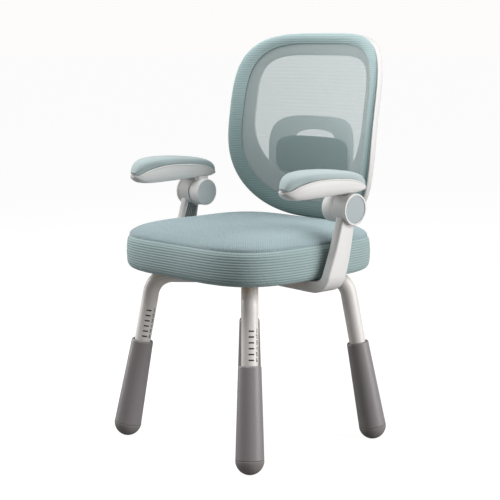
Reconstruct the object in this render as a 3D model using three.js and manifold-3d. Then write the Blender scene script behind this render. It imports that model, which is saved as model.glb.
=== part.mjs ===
// Child's four-legged study chair: round-cornered cushion, curved mesh back with a lumbar pad,
// armrests that swing up, and leg sleeves that slide on bent steel tubes to set the height.
// Millimetres. +Z up, the sitter faces -Y, the sitter's left is +X, floor at Z = 0.

import * as THREE from 'three';
import { mergeVertices } from 'three/addons/utils/BufferGeometryUtils.js';
import Module from 'manifold-3d';

const wasm = await Module();
wasm.setup();

// ---------------------------------------------------------------- driving dimensions

// legs
const LEG_CENTRE_Y = -11.3;        // where the four leg planes cross
const LEG_AZIMUTH = 43.5;         // degrees between a leg plane and the X axis
const LEG_LEAN = 10.56;           // degrees from upright
const FOOT_RADIAL = 231;          // foot ball centre from the leg centre
const FOOT_RADIUS = 25.5;
const FOOT_HEIGHT = 25;           // ball centre above the floor, so the ball is cut flat
const SLEEVE_LENGTH = 159.3;
const SLEEVE_BOTTOM_RADIUS = 25;
const SLEEVE_TOP_RADIUS = 20.2;
const SLEEVE_BORE = 17.2;
const TUBE_RADIUS = 15;
const TUBE_WALL = 1.5;
const TUBE_LOW_END = 86;          // along the leg, from the foot ball centre
const TUBE_RUN_HEIGHT = 309.7;    // centre of the level run under the seat
const TUBE_BEND = 42;
const TUBE_RUN_END = 34;          // inner end of the level run from the leg centre

// seat
const SEAT_HALF_WIDTH = 191;
const SEAT_HALF_DEPTH = 187;
const SEAT_CENTRE_Y = -15.3;
const SEAT_CORNER = 4.2;          // exponent of the rounded-square outline
const SEAT_BOTTOM = 324;
const SEAT_SEAM = 385;
const SEAT_TOP = 411.5;
const BOARD_BOTTOM = 328.3;
const BOARD_TOP = 338;
const BOARD_INSET = 20;
const PLATE_THICKNESS = 2.9;

// arm hubs and brackets
const HUB_Y = 31.4;
const HUB_Z = 447.6;
const HUB_INNER_FACE = 165.4;
const HUB_SEAM = 190.3;
const HUB_OUTER_FACE = 224.4;
const HUB_RADIUS = 27;
const HUB_INNER_RADIUS = 25.6;
const HUB_RIM_RADIUS = 28;
const PIVOT_RADIUS = 5;
const POST_OUTER_FACE = 216;
const POST_THICKNESS = 18.5;
const BAR_BOTTOM = 303;

// armrests
const REST_CENTRE_X = 199;
const REST_CENTRE_Y = -23.3;
const REST_HALF_LENGTH = 104;
const REST_HALF_WIDTH = 27;
const REST_CORNER_FRONT = 2.6;    // exponents of the armrest's outline seen from above
const REST_CORNER_REAR = 2.1;

// back
const BACK_MIDDLE_Z = 584;
const BACK_HALF_WIDTH = 186.5;
const BACK_UP = 169;              // from the widest height to the top edge
const BACK_DOWN = 180.5;          // from the widest height to the bottom edge
const BACK_CORNER_UP = 4.2;
const BACK_CORNER_DOWN = 2.7;
const BACK_WRAP_RADIUS = 420;     // how the back curls round the sitter
const BACK_Y = 151.7;             // foremost point of the back's middle line
const BACK_LUMBAR_Z = 520;
const BACK_RECLINE = 0.2;
const BACK_EASE = 16;
const RIM_SIDE = 23;
const RIM_TOP = 17.5;
const RIM_LOW = 30;
const WINDOW_MIDDLE_Z = 595;
const WINDOW_HALF_WIDTH = 142;
const WINDOW_UP = 117;
const WINDOW_DOWN = 125;

// screws
const SCREW_HEAD = 6;
const SCREW_SHAFT = 2.9;
const SCREW_HOLE = 3.2;

// ---------------------------------------------------------------- colours

const TEAL = { color: 0x8fa9a8, roughness: 0.95, metalness: 0 };
const TEAL_DARK = { color: 0x5f7f7d, roughness: 0.95, metalness: 0 };
const WHITE_PLASTIC = { color: 0xe4e2dd, roughness: 0.45, metalness: 0 };
const WHITE_STEEL = { color: 0xdedbd5, roughness: 0.4, metalness: 0.2 };
const GREY_SLEEVE = { color: 0x807a7a, roughness: 0.7, metalness: 0 };
const GREY_RUBBER = { color: 0x77706f, roughness: 0.85, metalness: 0 };
const CAP_BLUE = { color: 0xa9b6b9, roughness: 0.5, metalness: 0 };
const LINER_DARK = { color: 0x55575a, roughness: 0.6, metalness: 0 };
const ZINC = { color: 0xb4b6b8, roughness: 0.35, metalness: 0.9 };
const PLY = { color: 0xc3a271, roughness: 0.8, metalness: 0 };

// ---------------------------------------------------------------- geometry helpers

const rad = THREE.MathUtils.degToRad;
const lerp = THREE.MathUtils.lerp;

function flipIfInsideOut(geometry) {
  const p = geometry.attributes.position;
  const index = geometry.index.array;
  const a = new THREE.Vector3();
  const b = new THREE.Vector3();
  const c = new THREE.Vector3();
  let volume = 0;
  for (let i = 0; i < index.length; i += 3) {
    a.fromBufferAttribute(p, index[i]);
    b.fromBufferAttribute(p, index[i + 1]);
    c.fromBufferAttribute(p, index[i + 2]);
    volume += a.dot(b.cross(c));
  }
  if (volume < 0) {
    for (let i = 0; i < index.length; i += 3) {
      const keep = index[i];
      index[i] = index[i + 1];
      index[i + 1] = keep;
    }
  }
  return geometry;
}

function fromPoints(points, faces) {
  const geometry = new THREE.BufferGeometry();
  geometry.setAttribute('position', new THREE.Float32BufferAttribute(points.flat(), 3));
  geometry.setIndex(faces.flat());
  flipIfInsideOut(geometry);
  geometry.computeVertexNormals();
  return geometry;
}

// Closes one end of a loft: the ring is laid flat, seen along the axis it faces most, and cut into triangles.
function capFaces(ring, start) {
  const facing = [0, 1, 2].map((k) => {
    const [u, v] = [(k + 1) % 3, (k + 2) % 3];
    const area = ring.reduce((sum, p, i) => {
      const q = ring[(i + 1) % ring.length];
      return sum + p[u] * q[v] - q[u] * p[v];
    }, 0);
    return Math.abs(area);
  });
  const drop = facing.indexOf(Math.max(...facing));
  const axes = [0, 1, 2].filter((k) => k !== drop);
  const flat = ring.map((p) => new THREE.Vector2(p[axes[0]], p[axes[1]]));
  return THREE.ShapeUtils.triangulateShape(flat, []).map((f) => f.map((i) => i + start));
}

// A skin over rings of equal length. Open lofts get capped ends; closed ones join last to first.
function loft(rings, closed = false) {
  const n = rings[0].length;
  const points = rings.flat();
  const faces = [];
  const last = closed ? rings.length : rings.length - 1;
  for (let j = 0; j < last; j += 1) {
    const here = j * n;
    const next = ((j + 1) % rings.length) * n;
    for (let i = 0; i < n; i += 1) {
      const k = (i + 1) % n;
      faces.push([here + i, next + i, next + k]);
      faces.push([here + i, next + k, here + k]);
    }
  }
  if (!closed) {
    faces.push(...capFaces(rings[0], 0).map(([a, b, c]) => [a, b, c]));
    faces.push(...capFaces(rings[rings.length - 1], (rings.length - 1) * n).map(([a, b, c]) => [a, c, b]));
  }
  return orient(points, faces);
}

// Makes every triangle agree with its neighbours before the whole is turned outwards.
function orient(points, faces) {
  const owners = new Map();
  const key = (a, b) => `${a}_${b}`;
  faces.forEach((f, i) => {
    for (let k = 0; k < 3; k += 1) {
      const a = f[k];
      const b = f[(k + 1) % 3];
      const name = a < b ? key(a, b) : key(b, a);
      if (!owners.has(name)) {
        owners.set(name, []);
      }
      owners.get(name).push(i);
    }
  });
  const done = new Set([0]);
  const queue = [0];
  while (queue.length > 0) {
    const i = queue.pop();
    const f = faces[i];
    for (let k = 0; k < 3; k += 1) {
      const a = f[k];
      const b = f[(k + 1) % 3];
      const name = a < b ? key(a, b) : key(b, a);
      for (const j of owners.get(name)) {
        if (done.has(j)) {
          continue;
        }
        const g = faces[j];
        const at = g.indexOf(a);
        if (g[(at + 1) % 3] === b) {
          faces[j] = [g[1], g[0], g[2]];
        }
        done.add(j);
        queue.push(j);
      }
    }
  }
  return fromPoints(points, faces);
}

function lathe(profile, segments) {
  const points = profile.map(([r, z]) => new THREE.Vector2(r, z));
  const geometry = new THREE.LatheGeometry(points, segments);
  geometry.rotateX(Math.PI / 2);
  return tidy(geometry);
}

// Keeps positions only, so that seams close.
function tidy(geometry) {
  geometry.deleteAttribute('normal');
  geometry.deleteAttribute('uv');
  const merged = mergeVertices(geometry, 1e-4);
  const from = merged.index.array;
  const kept = [];
  for (let i = 0; i < from.length; i += 3) {
    const [a, b, c] = [from[i], from[i + 1], from[i + 2]];
    if (a !== b && b !== c && c !== a) {
      kept.push(a, b, c);
    }
  }
  merged.setIndex(kept);
  flipIfInsideOut(merged);
  merged.computeVertexNormals();
  return merged;
}

function toSolid(geometry) {
  const mesh = new wasm.Mesh({
    numProp: 3,
    vertProperties: new Float32Array(geometry.attributes.position.array),
    triVerts: new Uint32Array(geometry.index.array),
  });
  return new wasm.Manifold(mesh);
}

function fromSolid(solid) {
  const mesh = solid.getMesh();
  const geometry = new THREE.BufferGeometry();
  geometry.setAttribute('position', new THREE.Float32BufferAttribute(mesh.vertProperties, 3));
  geometry.setIndex(Array.from(mesh.triVerts));
  geometry.computeVertexNormals();
  return geometry;
}

function cut(geometry, ...tools) {
  let solid = toSolid(geometry);
  for (const tool of tools) {
    solid = solid.subtract(toSolid(tool));
  }
  return fromSolid(solid);
}

function join(geometry, ...others) {
  let solid = toSolid(geometry);
  for (const other of others) {
    solid = solid.add(toSolid(other));
  }
  return fromSolid(solid);
}

function box(x0, x1, y0, y1, z0, z1) {
  const geometry = new THREE.BoxGeometry(x1 - x0, y1 - y0, z1 - z0);
  geometry.translate((x0 + x1) / 2, (y0 + y1) / 2, (z0 + z1) / 2);
  return tidy(geometry);
}

// A round bar or cutter from one point to another along Z, or turned to lie along X or Y.
function rod(radius, from, to, segments = 12) {
  return lathe([[0, from], [radius, from], [radius, to], [0, to]], segments);
}

// Lays a shape made about +Z along +X, then moves it.
function alongX(geometry, y, z) {
  geometry.rotateY(Math.PI / 2);
  geometry.translate(0, y, z);
  return geometry;
}

function mirrored(geometry) {
  const copy = geometry.clone();
  copy.scale(-1, 1, 1);
  const index = copy.index.array;
  for (let i = 0; i < index.length; i += 3) {
    const keep = index[i];
    index[i] = index[i + 1];
    index[i + 1] = keep;
  }
  copy.computeVertexNormals();
  return copy;
}

// A quarter of a rounded rectangle from the side to the top, its points crowded a little at the corner.
function quarter(count, width, height, corner) {
  const dense = [];
  const fine = 360;
  for (let i = 0; i <= fine; i += 1) {
    const angle = (Math.PI / 2) * (i / fine);
    dense.push([
      width * Math.max(Math.cos(angle), 0) ** (2 / corner),
      height * Math.sin(angle) ** (2 / corner),
    ]);
  }
  const run = [0];
  let before = Math.PI / 2;
  for (let i = 1; i <= fine; i += 1) {
    const dx = dense[i][0] - dense[i - 1][0];
    const dz = dense[i][1] - dense[i - 1][1];
    const heading = Math.atan2(dz, dx);
    const turned = Math.abs(heading - before) / (Math.PI / 2);
    before = heading;
    run.push(run[i - 1] + Math.hypot(dx, dz) / (width + height) + 0.6 * turned);
  }
  const picked = [];
  let at = 0;
  for (let i = 0; i < count; i += 1) {
    const goal = (run[fine] * i) / count;
    while (run[at + 1] < goal) {
      at += 1;
    }
    const t = i === 0 ? 0 : (goal - run[at]) / (run[at + 1] - run[at]);
    picked.push([lerp(dense[at][0], dense[at + 1][0], t), lerp(dense[at][1], dense[at + 1][1], t)]);
  }
  return picked;
}

// A rounded-rectangle outline, anticlockwise from the right; its upper and lower halves can differ.
function superRing(count, halfWidth, up, down, cornerUp, cornerDown) {
  const upper = quarter(count / 4, halfWidth, up, cornerUp);
  const lower = quarter(count / 4, halfWidth, down, cornerDown);
  const ring = [...upper, [0, up]];
  ring.push(...upper.slice(1).reverse().map(([x, z]) => [-x, z]));
  ring.push(...lower.map(([x, z]) => [-x, -z]));
  ring.push([0, -down]);
  ring.push(...lower.slice(1).reverse().map(([x, z]) => [x, -z]));
  return ring;
}

// Smooth value through a short list of [place, value] pairs.
function through(list, place) {
  let i = 0;
  while (i < list.length - 2 && place > list[i + 1][0]) {
    i += 1;
  }
  const [p0, v0] = list[Math.max(i - 1, 0)];
  const [p1, v1] = list[i];
  const [p2, v2] = list[i + 1];
  const [p3, v3] = list[Math.min(i + 2, list.length - 1)];
  const t = THREE.MathUtils.clamp((place - p1) / (p2 - p1), 0, 1);
  const slopeIn = p2 > p0 ? ((v2 - v0) / (p2 - p0)) * (p2 - p1) : 0;
  const slopeOut = p3 > p1 ? ((v3 - v1) / (p3 - p1)) * (p2 - p1) : 0;
  const a = 2 * t ** 3 - 3 * t ** 2 + 1;
  const b = t ** 3 - 2 * t ** 2 + t;
  const c = -2 * t ** 3 + 3 * t ** 2;
  const d = t ** 3 - t ** 2;
  return a * v1 + b * slopeIn + c * v2 + d * slopeOut;
}

// ---------------------------------------------------------------- assembly

const chair = new THREE.Group();
chair.name = 'study_chair';

function add(name, geometry, look, parent = chair) {
  const mesh = new THREE.Mesh(geometry, new THREE.MeshStandardMaterial(look));
  mesh.name = name;
  parent.add(mesh);
  return mesh;
}

function screwShape(length, head = 3.5) {
  const profile = [[0, -head], [SCREW_HEAD, -head], [SCREW_HEAD, 0], [SCREW_SHAFT, 0]];
  profile.push([SCREW_SHAFT, length], [0, length]);
  return lathe(profile, 10);
}

// ---------------------------------------------------------------- seat

// One level outline of the seat, drawn in from the cushion's edge by an inset.
function seatRing(inset, z, count) {
  const half = SEAT_HALF_DEPTH - inset;
  const corner = lerp(SEAT_CORNER, 2.6, THREE.MathUtils.clamp(inset / 150, 0, 1));
  const outline = superRing(count, SEAT_HALF_WIDTH - inset, half, half, corner, corner);
  return outline.map(([x, y]) => [x, SEAT_CENTRE_Y + y, z]);
}

// The underside is recessed so the board sits inside a skirt of foam and cover.
function cushionShape() {
  const count = 52;
  const recess = BOARD_TOP + 0.3;
  const skirt = BOARD_INSET - 0.4;
  const steps = [
    [60, recess],
    [skirt, recess],
    [skirt, SEAT_BOTTOM],
    [9, SEAT_BOTTOM],
    [2.5, SEAT_BOTTOM + 3],
    [0, SEAT_BOTTOM + 10],
    [-1.5, (SEAT_BOTTOM + SEAT_SEAM) / 2],
    [0.5, SEAT_SEAM - 6],
    [3.5, SEAT_SEAM],
    [13, SEAT_TOP - 16],
    [32, SEAT_TOP - 7.5],
    [62, SEAT_TOP - 2.3],
    [117, SEAT_TOP],
  ];
  return loft(steps.map(([inset, z]) => seatRing(inset, z, count)));
}

const ARM_SCREW_X = [108, 148];
const ARM_SCREW_Y = HUB_Y - 45;
const BACK_BAR_SCREW_Y = [SEAT_CENTRE_Y + 99, SEAT_CENTRE_Y + 134];
const PLATE_SCREWS = [[62, 0], [-62, 0], [0, 55], [0, -55]];

function boardHoles() {
  const spots = [];
  for (const side of [1, -1]) {
    for (const x of ARM_SCREW_X) {
      spots.push([side * x, ARM_SCREW_Y]);
    }
  }
  for (const y of BACK_BAR_SCREW_Y) {
    spots.push([0, y]);
  }
  for (const [x, y] of PLATE_SCREWS) {
    spots.push([x, LEG_CENTRE_Y + y]);
  }
  return spots;
}

function holePath(x, y) {
  const path = new THREE.Path();
  path.absarc(x, y, SCREW_HOLE, 0, Math.PI * 2, true);
  return path;
}

function boardShape() {
  const ring = seatRing(BOARD_INSET, 0, 44).map(([x, y]) => new THREE.Vector2(x, y));
  const shape = new THREE.Shape(ring);
  for (const [x, y] of boardHoles()) {
    shape.holes.push(holePath(x, y));
  }
  const thickness = BOARD_TOP - BOARD_BOTTOM;
  const geometry = new THREE.ExtrudeGeometry(shape, { depth: thickness, bevelEnabled: false, curveSegments: 6 });
  geometry.translate(0, 0, BOARD_BOTTOM);
  return tidy(geometry);
}

function plateShape() {
  const shape = new THREE.Shape();
  const [w, d, r] = [84, 74, 12];
  shape.absarc(w - r, d - r, r, 0, Math.PI / 2, false);
  shape.absarc(-w + r, d - r, r, Math.PI / 2, Math.PI, false);
  shape.absarc(-w + r, -d + r, r, Math.PI, Math.PI * 1.5, false);
  shape.absarc(w - r, -d + r, r, Math.PI * 1.5, Math.PI * 2, false);
  for (const [x, y] of PLATE_SCREWS) {
    shape.holes.push(holePath(x, y));
  }
  const options = { depth: PLATE_THICKNESS, bevelEnabled: false, curveSegments: 6 };
  const geometry = new THREE.ExtrudeGeometry(shape, options);
  geometry.translate(0, LEG_CENTRE_Y, BOARD_BOTTOM - 0.3 - PLATE_THICKNESS);
  return tidy(geometry);
}

add('seat_cushion', cushionShape(), TEAL);
add('seat_board', boardShape(), PLY);
add('seat_plate', plateShape(), WHITE_STEEL);
PLATE_SCREWS.forEach(([x, y], i) => {
  const screw = add(`plate_screw_${i + 1}`, screwShape(11), ZINC);
  screw.position.set(x, LEG_CENTRE_Y + y, BOARD_BOTTOM - 0.6 - PLATE_THICKNESS);
});

// ---------------------------------------------------------------- legs

// A hollow round tube through stations [radial, height, direction], all in the leg's own plane.
function tubeShape(stations, outer, wall, segments) {
  const outerRings = [];
  const innerRings = [];
  for (const [r, z, angle] of stations) {
    const normal = [Math.cos(angle), -Math.sin(angle)];
    const ringAt = (radius) => {
      const ring = [];
      for (let i = 0; i < segments; i += 1) {
        const a = (2 * Math.PI * i) / segments;
        const out = radius * Math.cos(a);
        ring.push([r + normal[0] * out, radius * Math.sin(a), z + normal[1] * out]);
      }
      return ring;
    };
    outerRings.push(ringAt(outer));
    innerRings.push(ringAt(outer - wall));
  }
  return loft([...outerRings, ...innerRings.reverse()], true);
}

// Stations of a leg tube: up the leaning leg, round the bend, then level towards the middle.
function legStations() {
  const lean = rad(LEG_LEAN);
  const onLeg = (along) => [FOOT_RADIAL - along * Math.sin(lean), FOOT_HEIGHT + along * Math.cos(lean)];
  const corner = (TUBE_RUN_HEIGHT - FOOT_HEIGHT) / Math.cos(lean);
  const turn = Math.PI / 2 - lean;
  const tangent = TUBE_BEND * Math.tan(turn / 2);
  const stations = [];
  const [r0, z0] = onLeg(TUBE_LOW_END);
  stations.push([r0, z0, -lean]);
  const [rb, zb] = onLeg(corner - tangent);
  const centreR = rb - TUBE_BEND * Math.cos(lean);
  const centreZ = zb - TUBE_BEND * Math.sin(lean);
  const steps = 5;
  for (let i = 0; i <= steps; i += 1) {
    const a = lean + (turn * i) / steps;
    stations.push([centreR + TUBE_BEND * Math.cos(a), centreZ + TUBE_BEND * Math.sin(a), -a]);
  }
  stations.push([TUBE_RUN_END, TUBE_RUN_HEIGHT, -Math.PI / 2]);
  return stations;
}

function sleeveShape() {
  const top = SLEEVE_LENGTH;
  return lathe([
    [8.3, 0.3],
    [SLEEVE_BOTTOM_RADIUS + 0.3, 0.3],
    [SLEEVE_BOTTOM_RADIUS, 6],
    [SLEEVE_TOP_RADIUS + 0.1, top - 2.2],
    [SLEEVE_TOP_RADIUS - 1.2, top],
    [SLEEVE_BORE, top],
    [SLEEVE_BORE, 8],
    [8.3, 8],
    [8.3, 0.3],
  ], 20);
}

function collarShape() {
  const top = SLEEVE_LENGTH - 1.5;
  const outer = SLEEVE_BORE - 0.3;
  const inner = TUBE_RADIUS + 0.25;
  return lathe([[inner, top - 18], [outer, top - 18], [outer, top], [inner, top], [inner, top - 18]], 18);
}

// Closes the tube's lower end and keeps it centred in the sleeve.
function plugShape() {
  const flange = TUBE_LOW_END - 6;
  const spigot = TUBE_RADIUS - TUBE_WALL - 0.4;
  return lathe([
    [0, flange],
    [SLEEVE_BORE - 0.4, flange],
    [SLEEVE_BORE - 0.4, TUBE_LOW_END - 0.3],
    [spigot, TUBE_LOW_END - 0.3],
    [spigot, TUBE_LOW_END + 14],
    [0, TUBE_LOW_END + 14],
  ], 18);
}

// The rubber foot: most of a ball, with a stub that presses up into the sleeve.
function footShape() {
  const profile = [[0, -FOOT_RADIUS]];
  const steps = 6;
  for (let i = 1; i <= steps; i += 1) {
    const a = (Math.PI / 2) * (i / steps);
    profile.push([FOOT_RADIUS * Math.sin(a), -FOOT_RADIUS * Math.cos(a)]);
  }
  profile.push([8, 0], [8, 7], [0, 7]);
  return lathe(profile, 20);
}

// The floor cutter in the foot's own leaning frame, which leaves a small flat to stand on.
function floorCutter() {
  const cutter = box(-60, 60, -60, 60, -60, -FOOT_HEIGHT);
  cutter.rotateY(rad(LEG_LEAN));
  return cutter;
}

const LEGS = {
  front_left: -LEG_AZIMUTH,
  front_right: -180 + LEG_AZIMUTH,
  rear_left: LEG_AZIMUTH,
  rear_right: 180 - LEG_AZIMUTH,
};

for (const [place, azimuth] of Object.entries(LEGS)) {
  const leg = new THREE.Group();
  leg.name = `leg_${place}`;
  leg.position.y = LEG_CENTRE_Y;
  leg.rotation.z = rad(azimuth);
  chair.add(leg);
  add(`leg_tube_${place}`, tubeShape(legStations(), TUBE_RADIUS, TUBE_WALL, 18), WHITE_STEEL, leg);
  const onAxis = new THREE.Group();
  onAxis.name = `leg_axis_${place}`;
  onAxis.position.set(FOOT_RADIAL, 0, FOOT_HEIGHT);
  onAxis.rotation.y = -rad(LEG_LEAN);
  leg.add(onAxis);
  add(`leg_plug_${place}`, plugShape(), LINER_DARK, onAxis);
  add(`sleeve_${place}`, sleeveShape(), GREY_SLEEVE, onAxis);
  add(`sleeve_collar_${place}`, collarShape(), LINER_DARK, onAxis);
  add(`foot_${place}`, cut(footShape(), floorCutter()), GREY_RUBBER, onAxis);
}

// ---------------------------------------------------------------- arm brackets

// Chamfered rectangle across a bracket's path at one station; y0 and y1 are measured from the hub.
function bracketRing(x, z, angle, half, y0, y1) {
  const inward = [-Math.sin(angle), Math.cos(angle)];
  const c = 3.5;
  const outline = [
    [half, y0 + c], [half, y1 - c], [half - c, y1], [c - half, y1],
    [-half, y1 - c], [-half, y0 + c], [c - half, y0], [half - c, y0],
  ];
  return outline.map(([n, y]) => [x + inward[0] * n, HUB_Y + y, z + inward[1] * n]);
}

// Flat under the seat, round the corner, then up the outside of the cushion to the hub.
function bracketBody() {
  const barTop = BOARD_BOTTOM - 0.3;
  const skirtTop = SEAT_BOTTOM - 0.5;
  const rings = [];
  const level = (x, bottom, top, y0, y1) => {
    rings.push(bracketRing(x, (bottom + top) / 2, 0, (top - bottom) / 2, y0, y1));
  };
  level(90, BAR_BOTTOM + 3, barTop, -61, -29);
  level(96, BAR_BOTTOM, barTop, -64, -26);
  level(158, BAR_BOTTOM, barTop, -68, -22);
  level(167, BAR_BOTTOM, skirtTop, -69, -21);
  const outerBend = 30;
  const bendX = POST_OUTER_FACE - outerBend;
  const bendZ = BAR_BOTTOM + outerBend;
  for (let i = 0; i <= 4; i += 1) {
    const t = i / 4;
    const angle = (Math.PI / 2) * t;
    const half = lerp((skirtTop - BAR_BOTTOM) / 2, POST_THICKNESS / 2, t);
    const reach = outerBend - half;
    const x = bendX + reach * Math.sin(angle);
    const z = bendZ - reach * Math.cos(angle);
    rings.push(bracketRing(x, z, angle, half, lerp(-69, -59, t), lerp(-21, -12, t)));
  }
  const up = [[352, -51, -6], [381, -39.5, 0.5], [418, -28, 7.5], [438, -22.5, 11.5]];
  for (const [z, y0, y1] of up) {
    rings.push(bracketRing(POST_OUTER_FACE - POST_THICKNESS / 2, z, Math.PI / 2, POST_THICKNESS / 2, y0, y1));
  }
  return loft(rings);
}

function outerDrum() {
  const cap = HUB_OUTER_FACE - 4.4;
  const bore = PIVOT_RADIUS + 0.3;
  return alongX(lathe([
    [0, cap - 3.5],
    [bore, cap - 3.5],
    [bore, HUB_SEAM + 0.2],
    [HUB_RADIUS, HUB_SEAM + 0.2],
    [HUB_RADIUS, cap - 1],
    [HUB_RIM_RADIUS, cap],
    [HUB_RIM_RADIUS, HUB_OUTER_FACE - 0.8],
    [HUB_RIM_RADIUS - 0.8, HUB_OUTER_FACE],
    [24.6, HUB_OUTER_FACE],
    [24.6, cap],
    [0, cap],
  ], 28), HUB_Y, HUB_Z);
}

// The post's inner face is hollowed. Its level foot and its slanting head, which ends just under
// the drum, are given as [y, z] at the front and rear edges of the hollow.
const POCKET = { floor: POST_OUTER_FACE - 10, face: POST_OUTER_FACE - POST_THICKNESS };
const POCKET_LOW = [[HUB_Y - 50.5, 340], [HUB_Y - 14, 340]];
const POCKET_HIGH = [[HUB_Y - 19.8, 427.5], [HUB_Y + 3, 418]];

function pocketCutter() {
  const ringAt = ([[y0, z0], [y1, z1]]) => {
    const x0 = POCKET.face - 5;
    return [[x0, y0, z0], [POCKET.floor, y0, z0], [POCKET.floor, y1, z1], [x0, y1, z1]];
  };
  return loft([ringAt(POCKET_LOW), ringAt(POCKET_HIGH)]);
}

// Dark ribbed insert: a back wall with upright ribs, lying in the hollow.
function linerShape() {
  const back = POCKET.floor - 0.3;
  const ribs = 6;
  const ringAt = ([[y0, z0], [y1, z1]], lift) => {
    const at = (x, t) => [x, lerp(y0 + 0.4, y1 - 0.4, t), lerp(z0, z1, t) + lift];
    const ring = [at(back, 0)];
    for (let i = 0; i < ribs; i += 1) {
      const start = i / (ribs - 0.5);
      const end = (i + 0.5) / (ribs - 0.5);
      ring.push(at(back - 6, start), at(back - 6, end));
      if (i < ribs - 1) {
        ring.push(at(back - 2, end), at(back - 2, (i + 1) / (ribs - 0.5)));
      }
    }
    ring.push(at(back, 1));
    return ring;
  };
  return loft([ringAt(POCKET_LOW, 0.4), ringAt(POCKET_HIGH, -0.4)]);
}

function bracketShape() {
  const body = join(bracketBody(), outerDrum());
  const tools = [pocketCutter()];
  // keep the pivot bore and the cap seat open where the post runs into the drum
  const capSeat = HUB_OUTER_FACE - 4.4;
  tools.push(alongX(rod(PIVOT_RADIUS + 0.3, HUB_SEAM - 1, capSeat - 3.5, 28), HUB_Y, HUB_Z));
  for (const x of ARM_SCREW_X) {
    const hole = rod(SCREW_HOLE, 290, 340, 10);
    hole.translate(x, ARM_SCREW_Y, 0);
    const sink = rod(SCREW_HEAD + 0.8, 290, BAR_BOTTOM + 6, 14);
    sink.translate(x, ARM_SCREW_Y, 0);
    tools.push(hole, sink);
  }
  return cut(body, ...tools);
}

// ---------------------------------------------------------------- armrests

const REST_BOTTOM = [[-1, 484], [-0.9, 475.5], [-0.78, 471.5], [-0.3, 473], [0.2, 475], [0.78, 476], [0.9, 477.5], [1, 480]];
const REST_LIP = [[-1, 488], [-0.92, 488.5], [-0.74, 497.5], [-0.4, 504.8], [0, 505], [0.4, 501.8], [0.7, 495], [1, 482.5]];
const PAD_TOP = [[-1, 495], [-0.93, 509], [-0.84, 516], [-0.6, 519.4], [-0.3, 519.8], [0.1, 518], [0.55, 512.5],
  [0.82, 505], [0.93, 497], [1, 486]];

function restHalfWidth(t) {
  const corner = t < 0 ? REST_CORNER_FRONT : REST_CORNER_REAR;
  return REST_HALF_WIDTH * (1 - Math.abs(t) ** corner) ** (1 / corner);
}

function restStations() {
  const count = 16;
  const list = [];
  for (let i = 0; i <= count; i += 1) {
    list.push(0.992 * Math.sin((Math.PI / 2) * ((2 * i) / count - 1)));
  }
  return list;
}

function restShellBody() {
  const rings = restStations().map((t) => {
    const y = REST_CENTRE_Y + REST_HALF_LENGTH * t;
    const half = restHalfWidth(t);
    const low = through(REST_BOTTOM, t);
    const lip = through(REST_LIP, t);
    const side = [
      [0.45, low],
      [0.74, low + 1.5],
      [0.93, lerp(low, lip, 0.3)],
      [1, lerp(low, lip, 0.65)],
      [0.99, lip],
    ];
    const right = side.map(([w, z]) => [REST_CENTRE_X + w * half, y, z]);
    const left = side.map(([w, z]) => [REST_CENTRE_X - w * half, y, z]).reverse();
    return [...right, ...left];
  });
  return loft(rings);
}

function innerDrum() {
  const seam = HUB_SEAM - 0.2;
  const bore = PIVOT_RADIUS + 0.3;
  return alongX(lathe([
    [bore, seam],
    [HUB_INNER_RADIUS, seam],
    [HUB_INNER_RADIUS, HUB_INNER_FACE + 1.5],
    [HUB_INNER_RADIUS - 1.2, HUB_INNER_FACE],
    [23.4, HUB_INNER_FACE],
    [23.4, HUB_INNER_FACE + 3.4],
    [9.6, HUB_INNER_FACE + 3.4],
    [9.6, HUB_INNER_FACE + 8],
    [bore, HUB_INNER_FACE + 8],
    [bore, seam],
  ], 28), HUB_Y, HUB_Z);
}

function restShellShape() {
  const clearance = alongX(rod(HUB_RIM_RADIUS + 1.2, HUB_SEAM - 0.2, 240, 36), HUB_Y, HUB_Z);
  const shell = cut(restShellBody(), clearance);
  const neck = box(174, HUB_SEAM - 0.2, HUB_Y - 12, HUB_Y + 12, HUB_Z + 18, 480);
  return join(shell, neck, innerDrum());
}

function padShape() {
  const rings = restStations().slice(1, -1).map((t) => {
    const y = REST_CENTRE_Y + REST_HALF_LENGTH * t;
    const half = restHalfWidth(t) - 1.2;
    const low = through(REST_LIP, t) + 0.4;
    const high = Math.max(through(PAD_TOP, t), low + 2.5);
    const side = [[0.95, low], [0.985, lerp(low, high, 0.35)], [0.9, lerp(low, high, 0.74)], [0.66, lerp(low, high, 0.94)]];
    const right = side.map(([w, z]) => [REST_CENTRE_X + w * half, y, z]);
    const left = side.map(([w, z]) => [REST_CENTRE_X - w * half, y, z]).reverse();
    return [...right, [REST_CENTRE_X, y, high], ...left];
  });
  return loft(rings);
}

function capDisc(radius, from, to) {
  const r = radius - 0.6;
  return alongX(lathe([[0, from], [radius, from], [radius, to - 0.6], [r, to], [0, to]], 28), HUB_Y, HUB_Z);
}

// The bolt's head turns in the inner drum; its shank is fast in the bracket's drum.
function pivotShape() {
  const head = HUB_INNER_FACE + 3.7;
  const end = HUB_OUTER_FACE - 8.2;
  const profile = [[0, head], [9, head], [9, head + 4]];
  profile.push([PIVOT_RADIUS, head + 4], [PIVOT_RADIUS, end], [0, end]);
  return alongX(lathe(profile, 20), HUB_Y, HUB_Z);
}

function innerCapShape() {
  const face = HUB_INNER_FACE;
  return alongX(lathe([[0, face + 3.1], [23.1, face + 3.1], [23.1, face + 0.5], [22.5, face - 0.1], [0, face - 0.1]], 28), HUB_Y, HUB_Z);
}

const armShapes = {
  arm_bracket: [bracketShape(), WHITE_PLASTIC],
  bracket_liner: [linerShape(), LINER_DARK],
  hub_cap_outer: [capDisc(24.3, HUB_OUTER_FACE - 4.1, HUB_OUTER_FACE - 1), CAP_BLUE],
  pivot_bolt: [pivotShape(), ZINC],
  armrest_shell: [restShellShape(), WHITE_PLASTIC],
  hub_cap_inner: [innerCapShape(), CAP_BLUE],
  arm_pad: [padShape(), TEAL],
};

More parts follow.
